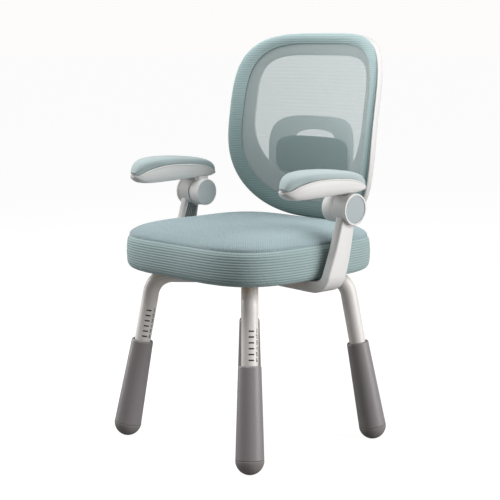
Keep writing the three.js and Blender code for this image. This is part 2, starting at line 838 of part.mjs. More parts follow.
for (const [name, [geometry, look]] of Object.entries(armShapes)) {
  add(`${name}_left`, geometry, look);
  add(`${name}_right`, mirrored(geometry), look);
}

for (const [place, side] of [['left', 1], ['right', -1]]) {
  ARM_SCREW_X.forEach((x, i) => {
    const screw = add(`bracket_screw_${place}_${i + 1}`, screwShape(27), ZINC);
    screw.position.set(side * x, ARM_SCREW_Y, BAR_BOTTOM + 5.7);
  });
}

// ---------------------------------------------------------------- back

// Depth of the sitter's surface at the middle line, and anywhere on the back.
function backMiddleY(z) {
  const rise = BACK_RECLINE * (z - BACK_LUMBAR_Z);
  return BACK_Y + Math.hypot(BACK_EASE, rise) - BACK_EASE;
}

function backY(x, z) {
  const wrap = BACK_WRAP_RADIUS - Math.sqrt(BACK_WRAP_RADIUS ** 2 - x * x);
  return backMiddleY(z) - wrap;
}

const BACK_POINTS = 56;

// The back's outline as [x, z] points, drawn in by a share of the rim's width.
function outline(share) {
  const ring = superRing(
    BACK_POINTS,
    BACK_HALF_WIDTH - RIM_SIDE * share,
    BACK_UP - RIM_TOP * share,
    BACK_DOWN - RIM_LOW * share,
    BACK_CORNER_UP,
    BACK_CORNER_DOWN,
  );
  return ring.map(([x, up]) => [x, BACK_MIDDLE_Z + up]);
}

function onBack(ring, behind) {
  return ring.map(([x, z]) => [x, backY(x, z) + behind, z]);
}

function rimShape() {
  const section = [[0, -0.4], [0, -2.5], [0.1, -4.8], [0.45, -6], [0.85, -5], [1, -2.8], [1, -0.4]];
  return loft(section.map(([share, behind]) => onBack(outline(share), behind)), true);
}

function shrunk(edge, middleZ, size) {
  return edge.map(([x, z]) => [x * size, middleZ + (z - middleZ) * size]);
}

// A disc over the back's surface: rings shrink to the middle on one side and grow back on the other.
function panelShape(edge, middleZ, front, rear, steps) {
  const rings = steps.map((size) => onBack(shrunk(edge, middleZ, size), front)).reverse();
  rings.push(...steps.map((size) => onBack(shrunk(edge, middleZ, size), rear)));
  return loft(rings);
}

function meshPanelShape() {
  return panelShape(outline(0.3), BACK_MIDDLE_Z, 0.6, 1.8, [1, 0.8, 0.58, 0.33, 0.08]);
}

// Shares across the ring from its outer edge (0) to the window (1), with depth behind the surface.
function shellRing(share, behind) {
  const window = superRing(BACK_POINTS, WINDOW_HALF_WIDTH, WINDOW_UP, WINDOW_DOWN, 5, 2.3);
  const ring = outline(0.03).map(([x, z], i) => {
    const [wx, wu] = window[i];
    return [lerp(x, wx, share), lerp(z, WINDOW_MIDDLE_Z + wu, share)];
  });
  return onBack(ring, behind);
}

const BAR_BEHIND = 21.2;
const BAR_GAUGE = 5;
const BAR_HALF_WIDTH = 36;
const SHELL_SCREWS = [[22, 418], [-22, 418], [22, 436], [-22, 436]];

function screwHolesAlongY(y0, y1) {
  return SHELL_SCREWS.map(([x, z]) => {
    const hole = rod(SCREW_HOLE, y0, y1, 10);
    hole.rotateX(-Math.PI / 2);
    hole.translate(x, 0, z);
    return hole;
  });
}

function shellShape() {
  const section = [
    [0, 4.4], [0.04, 3], [0.2, 3], [0.6, 3.6], [1, 5],
    [1, 9.2], [0.6, 9.6], [0.5, 18.6], [0.14, 20], [0.02, 17.5],
  ];
  const body = loft(section.map(([share, behind]) => shellRing(share, behind)), true);
  return cut(body, ...screwHolesAlongY(150, 200));
}

// Steel bar: under the board, down past the cushion's skirt, then up behind the seat to the shell.
function backBarShape() {
  const half = BAR_GAUGE / 2;
  const high = BOARD_BOTTOM - 0.4 - half;
  const low = SEAT_BOTTOM - 0.8 - half;
  const path = [[82, high], [150, high], [168, low], [176, low]].map(([y, z]) => [SEAT_CENTRE_Y + y, z]);
  const bend = 30;
  const upright = backMiddleY(404) + BAR_BEHIND + half;
  for (let i = 1; i <= 5; i += 1) {
    const a = (Math.PI / 2) * (i / 5);
    path.push([upright - bend + bend * Math.sin(a), low + bend - bend * Math.cos(a)]);
  }
  for (const z of [400, 424, 448]) {
    path.push([backMiddleY(z) + BAR_BEHIND + half, z]);
  }
  const rings = path.map(([y, z], i) => {
    const before = path[Math.max(i - 1, 0)];
    const after = path[Math.min(i + 1, path.length - 1)];
    const along = new THREE.Vector2(after[0] - before[0], after[1] - before[1]).normalize();
    const width = i === 0 || i === path.length - 1 ? BAR_HALF_WIDTH - 4 : BAR_HALF_WIDTH;
    const corners = [[width, half], [-width, half], [-width, -half], [width, -half]];
    return corners.map(([x, n]) => [x, y - along.y * n, z + along.x * n]);
  });
  const holes = screwHolesAlongY(150, 215);
  for (const y of BACK_BAR_SCREW_Y) {
    const hole = rod(SCREW_HOLE, 300, 350, 10);
    hole.translate(0, y, 0);
    holes.push(hole);
  }
  return cut(loft(rings), ...holes);
}

const CARRIER = { halfWidth: 112, middle: 520, up: 77, down: 58 };
const PAD = { halfWidth: 93, middle: 521.5, half: 37 };

// Curved plate that holds the lumbar pad, with a half-moon hand grip above the pad.
function carrierShape() {
  const ring = superRing(44, CARRIER.halfWidth, CARRIER.up, CARRIER.down, 3.9, 3);
  const edge = ring.map(([x, up]) => [x, CARRIER.middle + up]);
  const plate = panelShape(edge, CARRIER.middle, 11.2, 14.2, [1, 0.72, 0.4, 0.08]);
  const grip = new THREE.Shape();
  grip.moveTo(-50, 546);
  grip.lineTo(50, 546);
  grip.lineTo(50, 559);
  for (let i = 1; i < 8; i += 1) {
    const a = (Math.PI * i) / 8;
    grip.lineTo(50 * Math.cos(a), 559 + 12.5 * Math.sin(a));
  }
  grip.lineTo(-50, 559);
  const cutter = new THREE.ExtrudeGeometry(grip, { depth: 60, bevelEnabled: false });
  cutter.rotateX(Math.PI / 2);
  cutter.translate(0, 195, 0);
  return cut(plate, tidy(cutter));
}

function lumbarPadShape() {
  const ring = superRing(40, PAD.halfWidth, PAD.half, PAD.half, 4, 4);
  const edge = ring.map(([x, up]) => [x, PAD.middle + up]);
  const rings = [[0.08, 3.6], [0.5, 3.6], [0.86, 3.8], [0.96, 5], [1, 7.5], [0.98, 10.2], [0.5, 10.4], [0.08, 10.4]];
  return loft(rings.map(([size, behind]) => onBack(shrunk(edge, PAD.middle, size), behind)));
}

add('back_rim', rimShape(), TEAL_DARK);
add('back_mesh', meshPanelShape(), TEAL);
add('back_shell', shellShape(), WHITE_PLASTIC);
add('back_bar', backBarShape(), WHITE_STEEL);
add('lumbar_carrier', carrierShape(), WHITE_PLASTIC);
add('lumbar_pad', lumbarPadShape(), TEAL_DARK);

SHELL_SCREWS.forEach(([x, z], i) => {
  const screw = add(`back_screw_${i + 1}`, screwShape(16), ZINC);
  screw.rotation.x = Math.PI / 2;
  screw.position.set(x, backMiddleY(z) + BAR_BEHIND + BAR_GAUGE + 1.2, z);
});
BACK_BAR_SCREW_Y.forEach((y, i) => {
  const screw = add(`bar_screw_${i + 1}`, screwShape(13), ZINC);
  screw.position.set(0, y, BOARD_BOTTOM - 0.7 - BAR_GAUGE);
});

export default chair;
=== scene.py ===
import math

import bmesh
import bpy
from mathutils import Matrix, Vector


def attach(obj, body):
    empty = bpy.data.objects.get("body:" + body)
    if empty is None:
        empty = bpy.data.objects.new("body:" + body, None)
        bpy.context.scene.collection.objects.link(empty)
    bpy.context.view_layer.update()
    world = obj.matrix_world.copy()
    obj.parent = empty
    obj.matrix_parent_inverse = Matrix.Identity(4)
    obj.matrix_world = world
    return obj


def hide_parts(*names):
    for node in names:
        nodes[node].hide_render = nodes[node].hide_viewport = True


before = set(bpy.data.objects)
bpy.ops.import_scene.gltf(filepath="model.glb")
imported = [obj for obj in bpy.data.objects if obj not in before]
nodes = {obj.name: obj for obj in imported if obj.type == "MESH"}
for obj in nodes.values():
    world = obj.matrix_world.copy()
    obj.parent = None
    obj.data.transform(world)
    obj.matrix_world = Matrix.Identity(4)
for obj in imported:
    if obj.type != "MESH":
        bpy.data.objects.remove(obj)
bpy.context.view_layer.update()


# ------------------------------------------------------------------ leg tubes
# Four 30 mm steel tubes, bent once and powder coated warm white. Each leans outwards to its foot
# and runs level under the seat, where it is welded to the middle plate.

LEG_CENTRE_Y = -11.3
LEG_AZIMUTH = 43.5
LEG_LEAN = math.radians(10.56)
FOOT_RADIAL = 231.0
FOOT_HEIGHT = 25.0
TUBE_RADIUS = 15.0
TUBE_WALL = 1.5
TUBE_LOW_END = 86.0
TUBE_RUN_HEIGHT = 309.7
TUBE_BEND = 42.0
TUBE_RUN_END = 34.0
LEGS = {
    "front_left": -LEG_AZIMUTH,
    "front_right": -180 + LEG_AZIMUTH,
    "rear_left": LEG_AZIMUTH,
    "rear_right": 180 - LEG_AZIMUTH,
}


def mesh_piece(name, points, faces, crease=35):
    """Makes a shaded piece from points in millimetres."""
    mesh = bpy.data.meshes.new(name)
    mesh.from_pydata([Vector(p) * 0.001 for p in points], [], faces)
    shell = bmesh.new()
    shell.from_mesh(mesh)
    bmesh.ops.remove_doubles(shell, verts=shell.verts, dist=1e-6)
    bmesh.ops.recalc_face_normals(shell, faces=shell.faces)
    shell.to_mesh(mesh)
    shell.free()
    piece = bpy.data.objects.new(name, mesh)
    bpy.context.scene.collection.objects.link(piece)
    shade(piece, crease)
    return piece


def shade(piece, crease=35):
    """Smooth shading, but sharp where two faces meet at more than the crease angle."""
    piece.data.polygons.foreach_set("use_smooth", [True] * len(piece.data.polygons))
    piece.data.set_sharp_from_angle(angle=math.radians(crease))


def lofted(name, rings, place=None, shut=False, crease=35):
    """A skin over rings of equal length; shut joins the last ring to the first."""
    place = place or Matrix.Identity(4)
    wide = len(rings[0])
    points = [place @ Vector(p) for ring in rings for p in ring]
    faces = []
    for j in range(len(rings) if shut else len(rings) - 1):
        here = j * wide
        there = (j + 1) % len(rings) * wide
        for i in range(wide):
            k = (i + 1) % wide
            faces.append((here + i, here + k, there + k, there + i))
    if not shut:
        faces.append(tuple(range(wide)))
        faces.append(tuple(range((len(rings) - 1) * wide, len(rings) * wide)))
    return mesh_piece(name, points, faces, crease)


def coat(piece, finish):
    """Gives a piece one finish all over."""
    piece.data.materials.clear()
    piece.data.materials.append(finish)


def new_finish(name, roughness, colour=None, **sockets):
    """A material whose even values sit on the shader's own sockets."""
    made = bpy.data.materials.new(name)
    made.use_nodes = True
    shader = made.node_tree.nodes["Principled BSDF"]
    shader.inputs["Roughness"].default_value = roughness
    if colour:
        shader.inputs["Base Color"].default_value = (*colour, 1)
    for key, value in sockets.items():
        shader.inputs[key.replace("_", " ").title().replace("Ior", "IOR")].default_value = value
    return made, made.node_tree, shader


def step(tree, kind, *feeds, **settings):
    """Adds a node whose inputs take the feeds in order, and gives its first output."""
    made = tree.nodes.new("ShaderNode" + kind)
    for key, value in settings.items():
        setattr(made, key, value)
    for socket, feed in zip(made.inputs, feeds):
        if isinstance(feed, bpy.types.NodeSocket):
            tree.links.new(feed, socket)
        elif feed is not None:
            socket.default_value = feed
    return made.outputs[0]


def sums(tree, operation, *feeds):
    return step(tree, "Math", *feeds, operation=operation)


def coloured(tree, shader, colour):
    """Feeds a worked-out colour to a finish."""
    tree.links.new(colour, shader.inputs["Base Color"])


def place_of(tree):
    return tree.nodes.new("ShaderNodeTexCoord").outputs["Object"]


def cloudy(tree, where, scale, detail=2.0):
    """Soft uneven noise between 0 and 1."""
    made = tree.nodes.new("ShaderNodeTexNoise")
    tree.links.new(where, made.inputs["Vector"])
    made.inputs["Scale"].default_value = scale
    made.inputs["Detail"].default_value = detail
    return made.outputs["Fac"]


def waves(tree, along, spacing):
    """Waves between -1 and 1, their spacing given in millimetres."""
    return sums(tree, "SINE", sums(tree, "MULTIPLY", along, 2 * math.pi / (spacing * 0.001)))


def spread(tree, value, low, high, to_low, to_high):
    """Stretches a value from one range to another, held at both ends."""
    return step(tree, "MapRange", value, low, high, to_low, to_high)


def two_tone(tree, factor, first, second):
    """A colour between two others."""
    made = tree.nodes.new("ShaderNodeMix")
    made.data_type = "RGBA"
    tree.links.new(factor, made.inputs[0])
    for socket, colour in ((made.inputs[6], first), (made.inputs[7], second)):
        if isinstance(colour, bpy.types.NodeSocket):
            tree.links.new(colour, socket)
        else:
            socket.default_value = (*colour, 1)
    return made.outputs[2]


def tinted(tree, colour, cast):
    """One colour multiplied by another."""
    mixed = step(tree, "Mix", None, data_type="RGBA", blend_type="MULTIPLY").node
    mixed.inputs["Factor"].default_value = 1
    tree.links.new(colour, mixed.inputs["A"])
    tree.links.new(cast, mixed.inputs["B"])
    return mixed.outputs["Result"]


def raise_surface(tree, shader, height, distance, strength=1.0):
    """Bump from a height between 0 and 1, its full height given in millimetres."""
    bump = tree.nodes.new("ShaderNodeBump")
    bump.inputs["Strength"].default_value = strength
    bump.inputs["Distance"].default_value = distance * 0.001
    tree.links.new(height, bump.inputs["Height"])
    tree.links.new(bump.outputs[0], shader.inputs["Normal"])


def powder_coat():
    """Baked powder paint: a faint orange peel, a little uneven in gloss."""
    made, tree, shader = new_finish("powder_coat_white", 0.38, coat_weight=0.12, coat_roughness=0.3)
    where = place_of(tree)
    peel = cloudy(tree, where, 420, 3)
    wide = cloudy(tree, where, 9, 2)
    coloured(tree, shader, two_tone(tree, wide, (0.80, 0.765, 0.735), (0.85, 0.82, 0.795)))
    tree.links.new(spread(tree, wide, 0.3, 0.7, 0.34, 0.44), shader.inputs["Roughness"])
    raise_surface(tree, shader, peel, 0.05)
    return made


def leg_place(azimuth):
    return Matrix.Translation((0, LEG_CENTRE_Y, 0)) @ Matrix.Rotation(math.radians(azimuth), 4, "Z")


def leg_stations():
    """Radius from the centre, height and heading along a tube, from inside the sleeve to the plate."""
    def on_leg(along):
        return (FOOT_RADIAL - along * math.sin(LEG_LEAN), FOOT_HEIGHT + along * math.cos(LEG_LEAN))

    corner = (TUBE_RUN_HEIGHT - FOOT_HEIGHT) / math.cos(LEG_LEAN)
    turn = math.pi / 2 - LEG_LEAN
    stations = [(*on_leg(TUBE_LOW_END), -LEG_LEAN)]
    r, z = on_leg(corner - TUBE_BEND * math.tan(turn / 2))
    centre_r = r - TUBE_BEND * math.cos(LEG_LEAN)
    centre_z = z - TUBE_BEND * math.sin(LEG_LEAN)
    for i in range(15):
        a = LEG_LEAN + turn * i / 14
        stations.append((centre_r + TUBE_BEND * math.cos(a), centre_z + TUBE_BEND * math.sin(a), -a))
    stations.append((TUBE_RUN_END, TUBE_RUN_HEIGHT, -math.pi / 2))
    return stations


def tube_rings(radius, sides=40):
    rings = []
    for r, z, heading in leg_stations():
        ring = []
        for i in range(sides):
            a = 2 * math.pi * i / sides
            out = radius * math.cos(a)
            ring.append(
                (r + math.cos(heading) * out, radius * math.sin(a), z - math.sin(heading) * out)
            )
        rings.append(ring)
    return rings


white_paint = powder_coat()
for leg_name, azimuth in LEGS.items():
    rings = tube_rings(TUBE_RADIUS) + tube_rings(TUBE_RADIUS - TUBE_WALL)[::-1]
    tube = lofted(f"tube_{leg_name}", rings, leg_place(azimuth), shut=True)
    coat(tube, white_paint)
    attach(tube, "frame")
    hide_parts(f"leg_tube_{leg_name}")


# ------------------------------------------------------------------ height marks
# Six dark ticks with a numeral beside each, printed 10 mm apart on both front tubes. The sleeve's
# top edge is set against them.

MARK_COUNT = 6
TICK_SPACING = 10.0
SLEEVE_LENGTH = 162.3
TICK_WIDTH = 10.0
TICK_TALL = 2.5
TICK_FACING = -32.5
NUMERAL_TALL = 7.4
NUMERAL_FACING = 11.0


def leg_axis(azimuth):
    lean = Matrix.Rotation(-LEG_LEAN, 4, "Y")
    return leg_place(azimuth) @ Matrix.Translation((FOOT_RADIAL, 0, FOOT_HEIGHT)) @ lean


def wrapped(points, middle, height):
    """Lays flat (across, up, out) points round the tube at a facing angle and height."""
    laid = []
    for across, up, out in points:
        a = middle + across / TUBE_RADIUS
        r = TUBE_RADIUS + out
        laid.append((r * math.cos(a), r * math.sin(a), height + up))
    return laid


def tick_slab(width, tall, steps=8):
    """Points and faces of a thin printed bar, with rounded-off ends."""
    points, faces = [], []
    for i in range(steps + 1):
        x = width * (i / steps - 0.5)
        half = tall / 2 * (0.7 if i in (0, steps) else 1)
        points += [(x, -half, -0.1), (x, half, -0.1), (x, half, 0.07), (x, -half, 0.07)]
    for i in range(steps):
        for k in range(4):
            a, b = i * 4 + k, i * 4 + (k + 1) % 4
            faces.append((a, b, b + 4, a + 4))
    faces += [(0, 3, 2, 1), (steps * 4, steps * 4 + 1, steps * 4 + 2, steps * 4 + 3)]
    return points, faces


def numeral_shape(text, tall):
    """Points and faces of one printed numeral, centred, in millimetres."""
    curve = bpy.data.curves.new(f"numeral_{text}", "FONT")
    curve.body = text
    curve.size = tall / 0.7
    curve.align_x = "CENTER"
    curve.align_y = "CENTER"
    curve.extrude = 0.06
    curve.offset = 0.3
    curve.resolution_u = 4
    letter = bpy.data.objects.new(f"numeral_{text}", curve)
    bpy.context.scene.collection.objects.link(letter)
    bpy.context.view_layer.update()
    ready = letter.evaluated_get(bpy.context.evaluated_depsgraph_get())
    mesh = bpy.data.meshes.new_from_object(ready)
    points = [(v.co.x, v.co.y, v.co.z + 0.02) for v in mesh.vertices]
    faces = [tuple(p.vertices) for p in mesh.polygons]
    bpy.data.objects.remove(letter)
    bpy.data.curves.remove(curve)
    bpy.data.meshes.remove(mesh)
    return points, faces


def printing_ink():
    made, tree, shader = new_finish("printed_black", 0.5)
    worn = cloudy(tree, place_of(tree), 900, 3)
    coloured(tree, shader, two_tone(tree, worn, (0.004, 0.004, 0.004), (0.014, 0.014, 0.014)))
    return made


black_ink = printing_ink()
for leg_name in ("front_left", "front_right"):
    axis = leg_axis(LEGS[leg_name])
    all_points, all_faces = [], []
    for mark in range(MARK_COUNT):
        height = SLEEVE_LENGTH + TICK_SPACING * (MARK_COUNT - mark)
        for facing, (points, faces) in (
            (TICK_FACING, tick_slab(TICK_WIDTH, TICK_TALL)),
            (NUMERAL_FACING, numeral_shape(str(mark + 1), NUMERAL_TALL)),
        ):
            start = len(all_points)
            middle = math.radians(facing - LEGS[leg_name])
            all_points += [axis @ Vector(p) for p in wrapped(points, middle, height)]
            all_faces += [tuple(start + i for i in face) for face in faces]
    marks = mesh_piece(f"height_marks_{leg_name}", all_points, all_faces)
    coat(marks, black_ink)
    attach(marks, "frame")


# ------------------------------------------------------------------ leg sleeves and feet
# Tapered sleeves moulded in warm grey plastic, each with a rubber ball foot pressed into its end
# and a dark guide collar inside its mouth. They slide on the tubes.

SLEEVE_LOW_RADIUS = 25.0
SLEEVE_TOP_RADIUS = 20.2
SLEEVE_BORE = 17.2
SLEEVE_END_HOLE = 8.3
FOOT_RADIUS = 25.5


def eased(line, radius, steps=4):
    """Rounds the corners of a broken line."""
    made = [tuple(line[0])]
    for before, here, after in zip(line, line[1:], line[2:]):
        here = Vector(here)
        back = Vector(before) - here
        on = Vector(after) - here
        cut = min(radius, back.length * 0.45, on.length * 0.45)
        start = here + back.normalized() * cut
        end = here + on.normalized() * cut
        for i in range(steps + 1):
            t = i / steps
            made.append(tuple(start.lerp(here, t).lerp(here.lerp(end, t), t)))
    made.append(tuple(line[-1]))
    return made


def turned(name, profile, place, sides=56, crease=35):
    """A lathe-turned piece about its own upright axis, from (radius, height) points."""
    rings = []
    for r, z in profile:
        turn = [2 * math.pi * i / sides for i in range(sides)]
        rings.append([(r * math.cos(a), r * math.sin(a), z) for a in turn])
    return lofted(name, rings, place, crease=crease)


def grained_plastic(name, dark, light, roughness, grain=0.05, scale=650):
    """Moulded plastic with a fine spark-eroded grain."""
    made, tree, shader = new_finish(name, roughness, specular_ior_level=0.45)
    where = place_of(tree)
    wide = cloudy(tree, where, 14, 3)
    fine = cloudy(tree, where, scale, 4)
    coloured(tree, shader, two_tone(tree, wide, dark, light))
    gloss = spread(tree, fine, 0.3, 0.7, roughness - 0.05, roughness + 0.06)
    tree.links.new(gloss, shader.inputs["Roughness"])
    raise_surface(tree, shader, fine, grain)
    return made


def foot_rubber():
    """Grey rubber, scuffed lighter where it touches the floor."""
    made, tree, shader = new_finish("foot_rubber", 0.7, specular_ior_level=0.35)
    where = place_of(tree)
    height = step(tree, "SeparateXYZ", where).node.outputs["Z"]
    scuff = cloudy(tree, where, 260, 4)
    low = spread(tree, height, 0.0, 0.014, 1.0, 0.0)
    worn = sums(tree, "MULTIPLY", low, scuff)
    plain = two_tone(tree, cloudy(tree, where, 18, 2), (0.235, 0.212, 0.210), (0.270, 0.246, 0.243))
    coloured(tree, shader, two_tone(tree, worn, plain, (0.30, 0.285, 0.275)))
    raise_surface(tree, shader, scuff, 0.06)
    return made


sleeve_plastic = grained_plastic("sleeve_grey", (0.262, 0.240, 0.245), (0.292, 0.270, 0.276), 0.38)
rubber = foot_rubber()
dark_plastic = grained_plastic("dark_plastic", (0.060, 0.062, 0.065), (0.085, 0.088, 0.092), 0.55)
sleeve_profile = eased(
    [
        (SLEEVE_END_HOLE, 0.3),
        (SLEEVE_LOW_RADIUS + 0.3, 0.3),
        (SLEEVE_LOW_RADIUS, 6),
        (SLEEVE_TOP_RADIUS + 0.1, SLEEVE_LENGTH - 2.2),
        (SLEEVE_TOP_RADIUS - 1.2, SLEEVE_LENGTH),
        (SLEEVE_BORE, SLEEVE_LENGTH),
        (SLEEVE_BORE, 8),
        (SLEEVE_END_HOLE, 8),
    ],
    0.9,
)
foot_profile = [(0, -FOOT_RADIUS)]
for i in range(1, 22):
    a = math.pi / 2 * i / 22
    foot_profile.append((FOOT_RADIUS * math.sin(a), -FOOT_RADIUS * math.cos(a)))
foot_profile += [(FOOT_RADIUS - 0.1, -0.9), (FOOT_RADIUS - 0.9, -0.05), (8, -0.02), (8, 7), (0, 7)]
for leg_name, azimuth in LEGS.items():
    axis = leg_axis(azimuth)
    sleeve = turned(f"sleeve_skin_{leg_name}", sleeve_profile + [sleeve_profile[0]], axis)
    coat(sleeve, sleeve_plastic)
    foot = turned(f"ball_foot_{leg_name}", foot_profile, axis)
    for vertex in foot.data.vertices:
        vertex.co.z = max(vertex.co.z, 0.0)
    coat(foot, rubber)
    for piece, node_name, slot_name in (
        (sleeve, f"sleeve_{leg_name}", "sleeve_grey"),
        (foot, f"foot_{leg_name}", "foot_rubber"),
    ):
        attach(piece, f"leg_sleeve_{leg_name}")
        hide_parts(node_name)
    for node_name in (f"leg_plug_{leg_name}", f"sleeve_collar_{leg_name}"):
        coat(nodes[node_name], dark_plastic)
        shade(nodes[node_name])


# ------------------------------------------------------------------ seat board and plate
# A birch plywood board carries the cushion. The steel plate with the four tubes is screwed up
# into it, and so are the arm brackets and the bar that holds the back.

PLY_LAYERS = 2.8


def plywood():
    """Sanded birch face with long soft grain, and thin glued layers on the edge."""
    made, tree, shader = new_finish("birch_plywood", 0.62)
    where = place_of(tree)
    stretch = step(tree, "Mapping", where)
    stretch.node.inputs["Scale"].default_value = (1.0, 9.0, 1.0)
    grain = cloudy(tree, stretch, 22, 6)
    fine = cloudy(tree, stretch, 160, 4)
    height = step(tree, "SeparateXYZ", where).node.outputs["Z"]
    layers = waves(tree, height, PLY_LAYERS)
    side = step(tree, "SeparateXYZ", tree.nodes.new("ShaderNodeNewGeometry").outputs["Normal"])
    facing = sums(tree, "ABSOLUTE", side.node.outputs["Z"])
    bands = spread(tree, grain, 0.35, 0.65, 0.0, 1.0)
    face = two_tone(tree, bands, (0.50, 0.36, 0.19), (0.62, 0.47, 0.28))
    glue_lines = spread(tree, layers, -0.3, 0.3, 0.0, 1.0)
    edge = two_tone(tree, glue_lines, (0.30, 0.19, 0.09), (0.58, 0.43, 0.25))
    coloured(tree, shader, two_tone(tree, facing, edge, face))
    raise_surface(tree, shader, fine, 0.12)
    return made


def zinc_plate():
    """Bright zinc plating on small screws and bolts, lightly brushed."""
    made, tree, shader = new_finish("zinc_plating", 0.32, metallic=1.0)
    where = place_of(tree)
    spots = cloudy(tree, where, 330, 3)
    coloured(tree, shader, two_tone(tree, spots, (0.52, 0.53, 0.55), (0.68, 0.69, 0.70)))
    tree.links.new(spread(tree, spots, 0.3, 0.7, 0.25, 0.42), shader.inputs["Roughness"])
    return made


def dress(node_name, finish, bevel=0.0):
    """Gives a CAD node its finish and takes the razor edge off it."""
    piece = nodes[node_name]
    coat(piece, finish)
    shade(piece, 30)
    if bevel:
        weld = piece.modifiers.new("weld", "WELD")
        weld.merge_threshold = 0.00001
        soften = piece.modifiers.new("soften", "BEVEL")
        soften.width = bevel * 0.001
        soften.segments = 2
        soften.limit_method = "ANGLE"
        soften.angle_limit = math.radians(40)
        soften.harden_normals = True


zinc = zinc_plate()
dress("seat_board", plywood(), 0.4)
dress("seat_plate", white_paint, 0.4)
for number in range(1, 5):
    dress(f"plate_screw_{number}", zinc, 0.3)


# ------------------------------------------------------------------ seat cushion
# Foam in a knitted cover: a fine diagonal weave on top, a band with level ribs round the side,
# and a sewn seam between them. The cover is drawn under the edge and stapled to the board.

SEAT_HALF_WIDTH = 191.0
SEAT_HALF_DEPTH = 187.0
SEAT_CENTRE_Y = -15.3
SEAT_BOTTOM = 324.0
SEAT_SEAM = 385.0
SEAT_CORNER = 4.2
SEAM_DEPTH = 1.5
SEAM_SPREAD = 2.6
SKIRT = 19.6
BOARD_TOP = 338.0
SIDE_RIB = 4.6
TOP_WEAVE = 4.4
STITCH = 1.9
CLOTH_FRAMES = 20
EVENING_PASSES = 30


def quarter_curve(count, width, height, corner):
    """Points of a rounded corner from the side to the top, closer together where it turns."""
    fine = 720
    dense = []
    for i in range(fine + 1):
        a = math.pi / 2 * i / fine
        across = width * max(math.cos(a), 0) ** (2 / corner)
        dense.append((across, height * math.sin(a) ** (2 / corner)))
    run = [0.0]
    before = math.pi / 2
    for p, q in zip(dense, dense[1:]):
        heading = math.atan2(q[1] - p[1], q[0] - p[0])
        turned_by = abs(heading - before) / (math.pi / 2)
        before = heading
        run.append(run[-1] + math.dist(p, q) / (width + height) + 0.6 * turned_by)
    picked, at = [], 0
    for i in range(count):
        goal = run[-1] * i / count
        while run[at + 1] < goal:
            at += 1
        t = 0 if i == 0 else (goal - run[at]) / (run[at + 1] - run[at])
        p, q = dense[at], dense[at + 1]
        picked.append((p[0] + (q[0] - p[0]) * t, p[1] + (q[1] - p[1]) * t))
    return picked


def rounded_outline(count, half_width, up, down, corner_up, corner_down):
    """A rounded rectangle round the origin, whose upper and lower halves can differ."""
    upper = quarter_curve(count // 4, half_width, up, corner_up)
    lower = quarter_curve(count // 4, half_width, down, corner_down)
    ring = upper + [(0, up)] + [(-x, z) for x, z in upper[:0:-1]]
    ring += [(-x, -z) for x, z in lower] + [(0, -down)] + [(x, -z) for x, z in lower[:0:-1]]
    return ring


def seat_ring(inset, z, count):
    half = SEAT_HALF_DEPTH - inset
    corner = SEAT_CORNER - 1.6 * min(max(inset / 150, 0), 1)
    outline = rounded_outline(count, SEAT_HALF_WIDTH - inset, half, half, corner, corner)
    return [(x, SEAT_CENTRE_Y + y, z) for x, y in outline]


def applied(piece):
    """Makes what the modifiers show the piece's own mesh."""
    ready = piece.evaluated_get(bpy.context.evaluated_depsgraph_get())
    mesh = bpy.data.meshes.new_from_object(ready)
    piece.modifiers.clear()
    piece.data = mesh


def plumped(piece, voxel, pressure, cap, held):
    """Blows the cover up as the foam does, no point further than the cap, then evens the moves."""
    fine = piece.modifiers.new("even mesh", "REMESH")
    fine.mode = "VOXEL"
    fine.voxel_size = voxel * 0.001
    applied(piece)
    start = [v.co.copy() for v in piece.data.vertices]
    beside = [[] for _ in start]
    for edge in piece.data.edges:
        one, two = edge.vertices
        beside[one].append(two)
        beside[two].append(one)
    cover = piece.modifiers.new("cover", "CLOTH")
    cover.settings.quality = 5
    cover.settings.mass = 0.3
    cover.settings.tension_stiffness = 15
    cover.settings.compression_stiffness = 15
    cover.settings.use_pressure = True
    cover.settings.uniform_pressure_force = pressure
    cover.settings.effector_weights.gravity = 0
    for frame_number in range(1, CLOTH_FRAMES + 1):
        bpy.context.scene.frame_set(frame_number)
    applied(piece)
    bpy.context.scene.frame_set(1)
    moves = [vertex.co - home for vertex, home in zip(piece.data.vertices, start)]
    for i, home in enumerate(start):
        limit = cap * 0.001 * held(home * 1000)
        if moves[i].length > limit:
            moves[i] = moves[i].normalized() * limit
    for _ in range(EVENING_PASSES):
        moves = [
            sum((moves[k] for k in near), moves[i]) / (len(near) + 1)
            for i, near in enumerate(beside)
        ]
    for vertex, home, move in zip(piece.data.vertices, start, moves):
        vertex.co = home + move
    finer = piece.modifiers.new("finer", "SUBSURF")
    finer.levels = 1
    finer.render_levels = 1
    applied(piece)


def seat_edge(height):
    """How far the side band stands in from the outline at a height, before the foam fills it."""
    stops = [(324, 9.5), (328, 3.4), (336, 1.2), (355, 0.3), (375, 1.2), (385, 4.4)]
    for (z0, a), (z1, b) in zip(stops, stops[1:]):
        if height <= z1:
            return a + (b - a) * max(height - z0, 0) / (z1 - z0)
    return stops[-1][1]


def above_board(place):
    """How freely the cover fills out: not at all where it is stapled, and fully higher up."""
    return min(max((place.z - 330) / 14, 0), 1)


def seat_shape():
    steps = [(60, BOARD_TOP + 0.5), (SKIRT + 1, BOARD_TOP + 0.5)]
    steps += [(SKIRT + 1, SEAT_BOTTOM - 0.6), (12, SEAT_BOTTOM - 0.8)]
    steps += [(seat_edge(z), z) for z in (325.5, 328, 332, 337, 345, 355, 365, 373, 379, 383, 386)]
    crown = [(7, 389.6), (12, 393.4), (20, 397.4), (32, 400.9)]
    crown += [(45, 403.6), (62, 405.7), (85, 407.0), (117, 407.7)]
    return [seat_ring(inset, z, 112) for inset, z in steps + crown]


